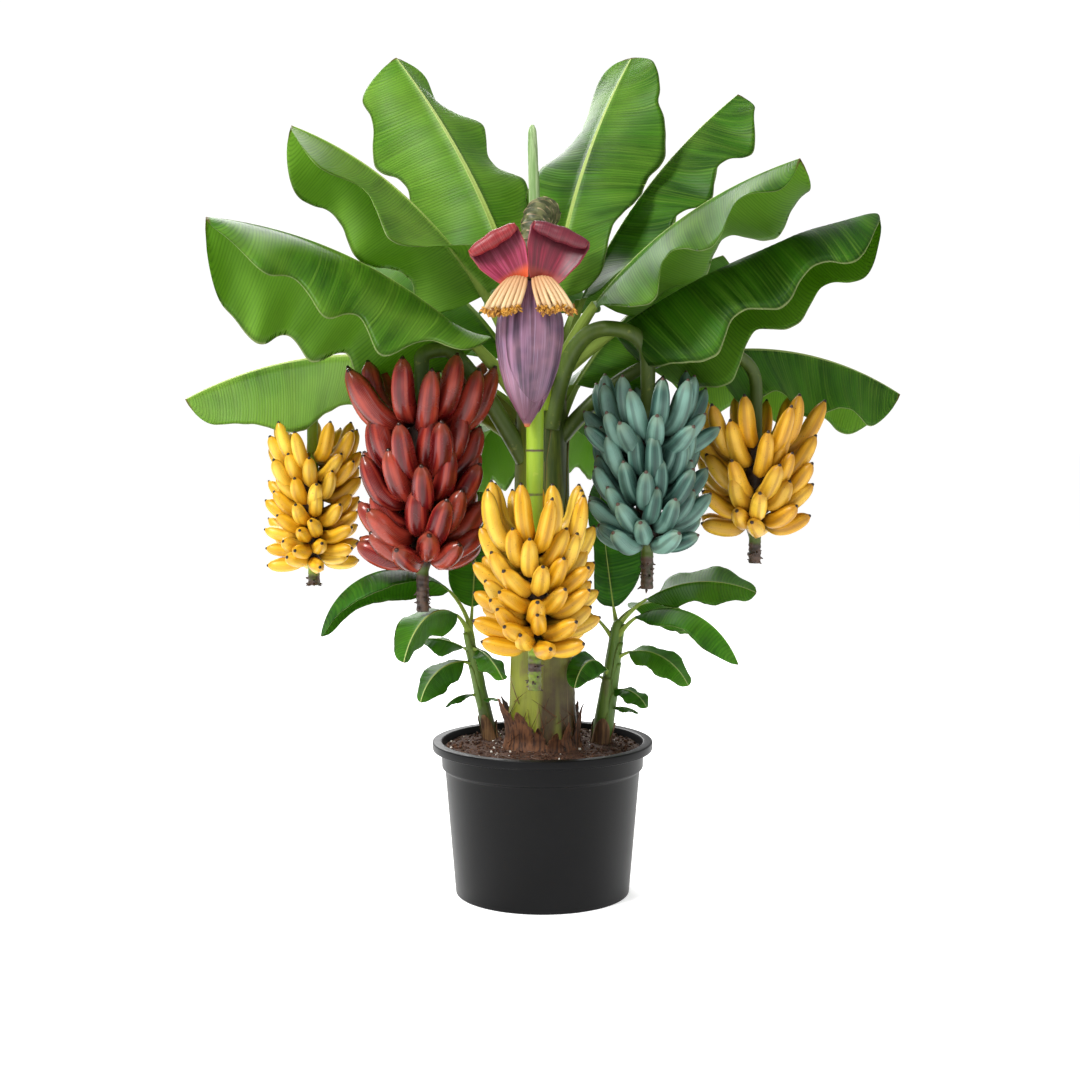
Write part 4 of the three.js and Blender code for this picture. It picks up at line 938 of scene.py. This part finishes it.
# %% Stem: the suckers
for name, sucker in SUCKERS.items():
    def line(h, sucker=sucker):
        return centre_line(h, sucker.foot, sucker.lean)

    def shoot_radius(z, angle, sucker=sucker):
        """The sucker's radius at a height and an angle."""
        heights = [235, (235 + sucker.top) / 2, sucker.top]
        return np.interp(z, heights, sucker.radii) * (1 + 0.03 * np.cos(3 * angle + z / 60))

    shoot, top = Heap(), sucker.top
    z = np.linspace(SUNK, top + 6, 44)
    rings, edge = roll(line(z), shoot_radius, np.interp(z, [SUNK, top, top + 6], [1, 1, 0.5]), 40,
                       ((0.9, 0.8), (3.0, -0.6), (4.9, 0.5)), 200, 1.0, 0.5, 0.4)
    shoot.add(rings, level=((z - SUNK) / (top - SUNK))[:, None], age=0, edge=edge)
    q = np.linspace(0, 1, 16)
    half = np.interp(q, [0, 0.15, 0.8, 1], [0.4, 1.0, 0.8, 0.5])
    lift = 1.9 * np.clip(q / 0.3, 0, 1) + 1.5 * q**4 - 1
    for leaf in sucker.rows[:sucker.solid]:
        h = np.linspace(max(240, leaf.foot - 70), leaf.foot + 5, 16)
        rings, s = sheath(line(h), shoot_radius, leaf.heading, half, lift, 0.7, 9)
        shoot.add(rings, level=0.7, age=0, edge=s**6)
    q = np.linspace(0, 1, 14)
    for k, heading in enumerate((20, 140, 260)):
        rings, _ = sheath(line(SUNK + 34 * q + 6 * k * q), shoot_radius, heading,
                          0.9 * (1 - q**3) + 0.1, 0.8 + 4 * q**3, 0.4, 9)
        shoot.add(rings, level=0, age=1, edge=0)
    shoot.build(f"{name}_shoot", shoot_green, "sucker_stem", [f"sucker_{name}_stem"])

# %% [markdown]
# ## The flower stalk
#
# The flower stalk arches forward over the plant. Its end is scaly with the scars of bracts that
# have dropped, set in a spiral like the scales of a cone. The spiral is one number: the length
# along the stalk divided by the scales' spacing, plus the turn round it.

# %% Flower: the stalk
def scaly_paint():
    p = Paint("flower stalk")
    green, rim = p.facts("green rim")
    spots = p.noise(70.0, 4.0)
    body = p.mix(green, p.mix(p.span(spots, 0.35, 0.65), "363d20", "6b6d44"),
                 p.mix(spots, "55702a", "86a03e"))
    body = p.mix(p.span(rim, 0.78, 0.95), body, p.mix(p.span(spots, 0.4, 0.6), "8d7256", "c0a584"))
    return p.finish(body, 0.55, p.bump(spots, 0.4, 0.0015))


RINGS, SCALE_GAP, SCALY_FROM = 200, 11, 96
path, far = evenly(arch((8, -12, 850.6), (4, -118, 1062), (-18, -190, 958), 85, 60), RINGS)
order = np.arange(RINGS)
angle = circle(40)
scaly = np.clip((order - SCALY_FROM) / 30, 0, 1)[:, None]
spiral = far[:, None] / SCALE_GAP + angle / TURN
rim = spiral % 1
notch = 0.5 + 0.5 * np.cos(5 * angle + 2.6 * np.floor(spiral))
size = np.interp(order, [0, SCALY_FROM, 128, RINGS - 1], [12, 12, 22, 14])[:, None]
size = size * (1 + scaly * (0.26 * rim**1.5 * (0.7 + 0.3 * notch) - 0.1))
flower_stalk = Heap()
flower_stalk.add(tube(path, size, 40) * MM, green=1 - scaly, rim=rim * scaly)
flower_stalk.build("flower_stalk", scaly_paint(), "flower_stalk",
                   ["flower_stalk_rising", "flower_stalk_hanging"])

# %% [markdown]
# ## The bud
#
# The bud is a cone of tightly rolled bracts with a waxy purple bloom. A plain spindle fills it,
# and five sheaths are laid over that at different heights, so that their edges cast fine lines of
# shadow down the bud as the real ones do.

# %% Flower: the bud
def bud_paint():
    p = Paint("flower bud")
    v, turn, edge, layer = p.facts("v turn edge layer")
    streak = p.noise_on(turn * 30.0, v * 0.9, layer * 5.0, 4.0)
    hair = p.noise_on(turn * 110.0, v * 1.6, layer * 3.0)
    cloud = p.noise(14.0, 3.0)
    body = p.mix(p.span(streak, 0.34, 0.7), "3a2439", "8b6480")
    body = p.mix(p.span(cloud, 0.45, 0.7) * 0.55, body, "a0707e")
    body = p.mix(p.span(hair, 0.55, 0.72) * 0.4, body, "b49fbc")
    top = p.mix(p.span(hair, 0.4, 0.6), "7c3f63", "b583a4")
    body = p.mix((1.0 - p.span(v, 0.06, 0.2)) * 0.7, body, top)
    body = p.mix(p.span(v + (cloud - 0.5) * 0.16, 0.7, 0.92) * 0.8, body, "5e2a3e")
    body = p.mix(p.span(edge, 0.8, 1.0) * 0.45, body, "55304e")
    body = p.mix(p.span(v, 0.965, 0.99), body, "b5622c")
    normal = p.bump(streak * 0.5 + hair * 0.5, 0.35, 0.0012)
    return p.finish(body, streak * 0.16 + 0.36, normal, Coat_Weight=0.12, Coat_Roughness=0.35)


BUD_TOP, BUD_TIP = np.array([-18.5, -190, 956.5]), np.array([-23, -190, 745])
BUD_V = [0, 0.06, 0.14, 0.26, 0.4, 0.58, 0.75, 0.88, 0.96, 1]
BUD_R = [15, 24, 38, 47, 48, 42, 31, 18, 9, 2]
bud_fine = np.linspace(0, 1, 201)
bud_smooth = np.pad(np.interp(bud_fine, BUD_V, BUD_R), 8, mode="edge")
bud_smooth = np.convolve(bud_smooth, np.ones(17) / 17, "valid")


def bud_radius(z, angle):
    """The bud's radius at a height: a fat spindle with three faint lobes."""
    v = (BUD_TOP[2] - z) / (BUD_TOP[2] - BUD_TIP[2])
    return np.interp(v, bud_fine, bud_smooth) * (1 + 0.02 * np.cos(3 * angle))


bud = Heap()
v = np.linspace(0, 1, 70)
angle = circle(56)
at = BUD_TOP + (BUD_TIP - BUD_TOP) * v[:, None]
size = bud_radius(at[:, 2:3], angle) - 0.6
bud.add((at[:, None] + size[..., None] * rays(angle)) * MM,
        v=v[:, None], turn=angle / TURN, edge=0, layer=0)
# (bearing, half-width in radians, where it ends, how far it stands out)
SCALES = [(-112, 1.25, 0.955, 0.5), (20, 1.3, 0.9, 0.9), (140, 1.3, 0.86, 1.3),
          (-60, 1.2, 0.83, 1.9), (-150, 0.9, 0.9, 0.2)]
q = np.linspace(0, 1, 60)
for layer, (heading, wide, end, lift) in enumerate(SCALES):
    at = BUD_TOP + (BUD_TIP - BUD_TOP) * (q * end)[:, None]
    half = wide * np.clip(1 - np.clip((q - 0.55) / 0.45, 0, 1) ** 2.2, 0, 1) ** 0.55 + 0.04
    rings, s = sheath(at, bud_radius, heading, half, lift + 0 * q, 0.7, 25)
    turn = (math.radians(heading) + half[:, None] * s) / TURN
    bud.add(rings, v=(q * end)[:, None], turn=turn, edge=s**8, layer=(layer + 1) / 6)
bud.build("flower_bud", bud_paint(), "flower_bud", ["flower_bud"])

# %% [markdown]
# ## Two lifted bracts
#
# Each day a bract of the bud lifts to show its hand of flowers, curls forward like a scroll and
# later drops. It is a cupped sheet whose slope is a rule of its own length: nearly upright at
# first, then falling through more than a full turn. One is rose red inside and one darker.

# %% Flower: the bracts
def bract_paint():
    p = Paint("bract")
    v, s, back, dark = p.facts("v s back dark")
    fibre = p.noise_on(s * 9.0, v * 1.2, dark, 4.0)
    fine = p.noise_on(s * 34.0, v * 1.5, dark)
    blush = p.mix(p.span(fibre, 0.4, 0.75), "7a0f2e", "b8446a")
    inner = p.mix(dark, blush, p.mix(p.span(fibre, 0.4, 0.7), "5c0f24", "8d1f38"))
    # Painted shadow: the inner face darkens from a quarter of the way up, where the scroll hangs over
    # it.
    inner = p.mix(p.span(v, 0.24, 0.42) * 0.75, inner, "4a0a1a")
    inner = p.mix((1.0 - p.span(v, 0.05, 0.15)) * 0.85, inner, p.mix(dark, "e0602a", "9c3a26"))
    outer = p.mix(p.span(fine, 0.35, 0.7), p.mix(dark, "76121a", "581222"),
                  p.mix(dark, "a22a2c", "74202f"))
    body = p.mix(back, inner, outer)
    body = p.mix(p.span(fine, 0.5, 0.75) * 0.2, body, p.mix(dark, "d8868e", "a8404c"))
    body = p.mix(p.span(abs(s), 0.93, 1.0) * 0.5, body, p.mix(dark, "c8564e", "a02a2e"))
    return p.finish(body, fibre * 0.16 + 0.4, p.bump(fibre * 0.5 + fine * 0.5, 0.4, 0.0012),
                    0.06, "b0202c", Coat_Weight=0.1, Coat_Roughness=0.35)


def bract_rings(base, lean, length, width, n=90, k=25):
    """A sheet that climbs from its base, cupped, and curls forward into a scroll at its tip: the
    slope rises from 72 to 102 degrees in 45 parts of a hundred, then falls by 370 to the tip.
    Returns the rings, the shares along and across, and 1 on the outer face."""
    lean = math.radians(lean)
    across = np.array([math.cos(lean), 0, math.sin(lean)])
    upward = np.array([-math.sin(lean), 0, math.cos(lean)])
    v = np.linspace(0, 1, n)
    slope = 72 + 30 * np.minimum(v / 0.45, 1) - 370 * np.clip((v - 0.45) / 0.55, 0, 1) ** 1.25
    slope = np.radians(slope)
    along = np.cos(slope)[:, None] * np.array([0, -1.0, 0]) + np.sin(slope)[:, None] * upward
    inner = unit(np.cross(across, along))
    steps = np.concatenate([np.zeros((1, 3)), np.cumsum(along[:-1], 0)])
    centre = np.asarray(base, float) + steps * length / (n - 1)
    half = np.interp(v, [0, 0.1, 0.3, 0.5, 0.85, 1], [0.42, 0.62, 0.9, 1, 0.9, 0.6]) * width / 2
    half = half + 0.7 * np.sin(11 * v + lean * 9)
    s = np.linspace(-1, 1, k)
    lift = ((13 * (1 - v) + 1.5)[:, None] * np.abs(s) ** 2.2
            + 0.8 * np.sin(8 * s + 6 * v[:, None]) * (1 - s**2))
    face = centre[:, None] + (half[:, None] * s)[..., None] * across + lift[..., None] * inner[:, None]
    thick = (0.9 * (1 - s**6) + 0.12)[:, None] * inner[:, None]
    rings = np.concatenate([face + thick, (face - thick)[:, ::-1]], 1) * MM
    return rings, v[:, None], np.concatenate([s, s[::-1]]), np.repeat([0, 1], k)


bracts = Heap()
for dark, (base, lean, length, width) in enumerate((((-37, -214, 956), 31, 130, 82),
                                                    ((1, -214, 956), -21, 134, 90))):
    rings, v, s, back = bract_rings(base, lean, length, width)
    bracts.add(rings, v=v, s=s, back=back, dark=dark)
bracts.build("bracts", bract_paint(), "bract", ["bract_left", "bract_right"])

# %% [markdown]
# ## Hands of small flowers
#
# Under each bract sit two rows of slim cream flowers. Each is a short bent tube that ends in a
# ruffle of brown-tipped threads.

# %% Flower: the small flowers
def small_flower_paint():
    p = Paint("small flowers")
    w, pick = p.facts("w pick")
    spots = p.noise(160.0, 3.0)
    body = p.mix(p.span(w, 0.0, 0.9), "d3a274", "e9cd9c")
    body = p.mix(pick * 0.5, body, "c08a5c")
    tips = p.mix(p.span(spots + pick * 0.4, 0.5, 0.9), "d39a34", "84521a")
    body = p.mix(p.span(w, 1.2, 1.4), body, tips)
    return p.finish(body, 0.55, p.bump(spots, 0.3, 0.001), 0.12, "e6b878")


hands = Heap()
dice = np.random.default_rng(21)
FLOWER_RADII = np.array([2.6, 3.0, 3.2, 3.3, 3.3, 3.2, 3.2, 3.4, 2.6])[:, None]
THREAD_RADII = [1.3, 1.2, 1.3, 1.6, 0.8]
w = np.linspace(0, 1, 9)[:, None]
for top, end in (((-36, -222, 958), (-57, -243, 914)), ((-1, -222, 958), (20, -243, 917))):
    top, end = np.array(top, float), np.array(end, float)
    for row, count in enumerate((7, 6)):
        for i in range(count):
            s, deep = -1 + 2 * (i + 0.5 * row) / 6.3, 2 * row - 1
            a = top + [13 * s, 4 * deep - 2 * (1 - s * s), 3 * (1 - s * s)]
            b = end + [24 * s, 7 * deep - 4 * (1 - s * s), 2 * dice.normal()]
            flower = bezier(a, (a + b) / 2 + [4 * s, -4, 3], b, 9)
            size = FLOWER_RADII * (1 + 0.06 * np.cos(3 * circle(9)))
            hands.add(tube(flower, size, 9) * MM, w=w, pick=dice.uniform())
            for _ in range(13):
                out = unit(unit(b - a) + dice.normal(0, 0.65, 3))
                thread = b + np.linspace(0, 1, 5)[:, None] * out * dice.uniform(6, 11)
                thread = thread + np.sin(np.linspace(0, 5, 5))[:, None] * dice.normal(0, 0.8, 3)
                hands.add(tube(thread, THREAD_RADII, 5) * MM, w=2.0, pick=dice.uniform())
hands.build("small_flowers", small_flower_paint(), "flower", ["flower_hand_left", "flower_hand_right"])

# %% [markdown]
# ## The leaf still rolled up
#
# The next leaf pushes up through the middle of the stem as a tight roll. Its section is a spiral,
# whose free edge winds once and a third round it on the way up.

# %% Flower and leaf: the rolled leaf
def rolled_paint():
    p = Paint("rolled leaf")
    streak = p.noise(30.0, 4.0, 0.6, (5, 5, 0.3))
    body = p.mix(p.span(streak, 0.35, 0.65), "80a062", "b6cd98")
    return p.finish(body, 0.4, p.bump(streak, 0.3, 0.001), 0.15, "b5d66a")


def curve(points, n):
    """n points along a smooth (Catmull-Rom) curve through the given points."""
    p = np.asarray(points, float)
    p = np.concatenate([2 * p[:1] - p[1:2], p, 2 * p[-1:] - p[-2:-1]])
    t = np.linspace(0, len(p) - 3 - 1e-9, n)
    i, f = t.astype(int), (t % 1)[:, None]
    a, b, c, d = p[i], p[i + 1], p[i + 2], p[i + 3]
    return 0.5 * (2 * b + (c - a) * f + (2 * a - 5 * b + 4 * c - d) * f**2
                  + (3 * b - a - 3 * c + d) * f**3)


path = curve([(-9, 11, 846), (-11, 14, 960), (-13, 18, 1090), (-16, 20, 1212)], 80)
share = np.linspace(0, 1, 80)
spiral = 0.9 + 0.16 * ((circle(40) / TURN + 1.3 * share[:, None]) % 1)
size = np.interp(share, [0, 0.5, 0.9, 0.98, 1], [10, 9.3, 8, 6.5, 3])[:, None] * spiral
rolled = Heap()
rolled.add(tube(path, size, 40) * MM)
rolled.build("rolled_leaf", rolled_paint(), "rolled_leaf", ["rolled_leaf"])

# %% [markdown]
# ## The pot
#
# A nursery pot is blown or moulded in one thin skin of black plastic. It is turned from its
# profile like a pot on a wheel, with every corner rounded, because moulded plastic has no sharp
# edges and a sharp one would catch no highlight.

# %% Pot
def rounded(profile, size, n=6):
    """The profile with each inner corner replaced by a short curve that starts and ends that far
    from the corner, or half way along a shorter side."""
    p = np.asarray(profile, float)
    out = [p[:1]]
    for a, b, c in zip(p[:-2], p[1:-1], p[2:]):
        la, lc = np.linalg.norm(a - b), np.linalg.norm(c - b)
        start, stop = b + (a - b) * min(size / la, 0.5), b + (c - b) * min(size / lc, 0.5)
        out.append(bezier(start, b, stop, n))
    return np.concatenate([*out, p[-1:]])


def lathe(profile, k):
    """Rings of k points, one for each (radius, height) of the profile."""
    r, h = np.asarray(profile, float).T
    return r[:, None, None] * rays(circle(k)) + np.stack([0 * h, 0 * h, h], -1)[:, None]


def pot_paint():
    p = Paint("pot")
    fine, cloud, dust = p.noise(900.0, 2.0), p.noise(7.0, 3.0), p.noise(40.0, 5.0, 0.7)
    body = p.mix(p.span(cloud, 0.4, 0.7), "050506", "09090b")
    body = p.mix(p.span(dust, 0.64, 0.78) * 0.15, body, "24211f")
    normal = p.bump(fine * 0.3 + dust * 0.2, 0.12, 0.0006)
    return p.finish(body, cloud * 0.14 + dust * 0.06 + 0.3, normal, Specular_IOR_Level=0.16)


POT_PROFILE = [(20, 0), (138.5, 0), (155, 200), (160, 203), (161, 231), (174, 231), (175, 234),
               (175, 245), (159.5, 245), (152, 200), (135.8, 3), (20, 3)]
pot = Heap()
pot.add(lathe(rounded(POT_PROFILE, 2.6), 144) * MM)
pot.build("pot", pot_paint(), "pot_plastic", ["pot"])

# %% [markdown]
# ## The soil
#
# Potting compost is a lumpy disc. Its height is a sum of forty crossing waves, cheaper than noise
# and the same each time. Crumbs of peat, white perlite and a few fibres lie on it, each a small
# lump of its own, turned at random.

# %% Soil
SOIL_LOWEST, SOIL_EDGE = 233.4, 157.0


def soil_paint():
    p = Paint("soil")
    pick, white = p.facts("pick white")
    crumbs, coarse = p.noise(260.0, 5.0, 0.7), p.noise(60.0, 4.0, 0.65)
    body = p.mix(p.span(crumbs, 0.35, 0.65), "1e0f0a", "50311f")
    body = p.mix(p.span(coarse, 0.45, 0.7) * 0.6, body, "3b2117")
    body = p.mix(pick * 0.45, body, "7a5238")
    body = p.mix(white, body, p.mix(crumbs, "cfc8bb", "f1eee6"))
    return p.finish(body, 0.9, p.bump(crumbs * 0.6 + coarse * 0.4, 0.9, 0.003))


dice = np.random.default_rng(33)
waves, starts = dice.normal(0, 0.16, (40, 2)), dice.uniform(0, 6.28, 40)


def soil_height(x, y):
    """A low dome roughened by forty crossing waves of different directions."""
    lumps = sum(np.sin(a * x + b * y + c) for (a, b), c in zip(waves, starts))
    return SOIL_LOWEST + 2.2 * (1 - (x * x + y * y) / SOIL_EDGE**2) + 0.33 * lumps


def scattered(radius, inmost):
    """A place on the soil, as likely on any part of it as on any other."""
    r, a = radius * math.sqrt(dice.uniform(inmost, 1)), dice.uniform(0, 6.28)
    return r * math.cos(a), r * math.sin(a)


soil = Heap()
ground = np.linspace(SOIL_EDGE, 3, 52)[:, None, None] * rays(circle(150))
ground[..., 2] = soil_height(ground[..., 0], ground[..., 1])
side = lathe([(134, 3.6), (150.2, 200), (155.5, 226)], 150)
soil.add(np.concatenate([side, ground]) * MM, pick=0.2, white=0)
LUMP = np.array([(0.55, -0.75), (1, -0.1), (0.65, 0.7)])
for white, count, small, large in ((0.0, 1500, 1.0, 3.6), (1.0, 90, 1.2, 2.6)):
    for _ in range(count):
        x, y = scattered(154, 0.02)
        size = small + (large - small) * dice.uniform() ** 3
        lump = lathe(LUMP * size, 5) * (1 + dice.normal(0, 0.2, (3, 5, 1)))
        lump = lump @ np.linalg.qr(dice.normal(0, 1, (3, 3)))[0]
        lump = lump + [x, y, soil_height(x, y) + size * 0.35]
        soil.add(lump * MM, pick=dice.uniform(), white=white)
t = np.linspace(-1, 1, 8)
for _ in range(80):
    x, y = scattered(150, 0.1)
    way, half = dice.uniform(0, 6.28), dice.uniform(4, 13)
    x = x + half * t * math.cos(way) + 2 * t**2 * dice.normal()
    y = y + half * t * math.sin(way) + 2 * t**2 * dice.normal()
    inside = np.minimum(1, 153 / np.maximum(np.hypot(x, y), 1))
    x, y = x * inside, y * inside
    height = soil_height(x, y) + 1.6 + dice.uniform(0, 2) * (1 - t**2)
    soil.add(tube(np.stack([x, y, height], -1), 0.45, 4) * MM, pick=1.0, white=0.15)
soil.build("soil", soil_paint(), "potting_soil", ["potting_soil"])

# %% [markdown]
# ## The studio
#
# A pale floor and a pale sky give the soft, almost shadowless light of a catalogue picture. The
# floor glows faintly, so that it runs into the sky without a line. A large lamp from the upper
# left gives the leaves their shine, one behind shines through them, and a weak one fills in.

# %% Studio
def studio_floor():
    """One large flat sheet on which the pot stands."""
    p = Paint("studio floor")
    paint = p.finish("f4f4f4", 0.9, p.bump(p.noise(3.0), 0.02, 0.001), Specular_IOR_Level=0.0,
                     Emission_Color=(1, 1, 1, 1), Emission_Strength=0.56)
    mesh = bpy.data.meshes.new("floor")
    mesh.from_pydata([(-14, -6, 0), (14, -6, 0), (14, 22, 0), (-14, 22, 0)], [], [(0, 1, 2, 3)])
    mesh.materials.append(paint)
    floor = bpy.data.objects.new("floor", mesh)
    bpy.context.scene.collection.objects.link(floor)
    return floor


def studio_sky(light, seen):
    """An even white sky: how strong it lights the plant, and how bright it looks itself."""
    world = bpy.data.worlds.new("studio")
    bpy.context.scene.world = world
    world.use_nodes = True
    nodes, links = world.node_tree.nodes, world.node_tree.links
    ray, strength = nodes.new("ShaderNodeLightPath"), nodes.new("ShaderNodeMapRange")
    sky = nodes["Background"]
    sky.inputs["Color"].default_value = (1, 1, 1, 1)
    strength.inputs["To Min"].default_value, strength.inputs["To Max"].default_value = light, seen
    links.new(ray.outputs["Is Camera Ray"], strength.inputs["Value"])
    links.new(strength.outputs["Result"], sky.inputs["Strength"])


def lamp(name, place, target, size, power):
    """A square lamp that faces the target."""
    light = bpy.data.lights.new(name, "AREA")
    light.size, light.energy = size, power
    piece = bpy.data.objects.new(name, light)
    piece.location = place
    way = np.array(place) - np.array(target)
    tip, spin = math.acos(way[2] / np.linalg.norm(way)), math.atan2(way[1], way[0]) + math.pi / 2
    piece.rotation_euler = (tip, 0, spin)
    bpy.context.scene.collection.objects.link(piece)


floor = studio_floor()
studio_sky(0.5, 1.05)
lamp("key", (-1.7, -1.9, 3.0), (0, 0, 0.8), 0.9, 120)
lamp("fill", (2.6, -2.0, 1.4), (0, 0, 0.8), 1.6, 12)
lamp("back", (-0.9, 2.6, 2.3), (0, 0, 0.9), 2.2, 120)

# %% [markdown]
# ## The camera
#
# It stands level with the crown's lowest leaves, 2.8 metres off, and looks a little down. From so
# far away the pot's sides look nearly straight.

# %% Camera
camera = bpy.data.cameras.new("camera")
camera.lens, camera.sensor_width = 59.3, 36
camera.dof.use_dof = False
eye = bpy.data.objects.new("camera", camera)
eye.location = (-0.004, -2.8, 0.789)
eye.rotation_euler = (math.radians(90 - 4.6), 0, 0)
bpy.context.scene.collection.objects.link(eye)
bpy.context.scene.camera = eye
bpy.context.scene.view_settings.view_transform = "Standard"
print("camera", round(math.degrees(camera.angle), 1), "degrees wide")
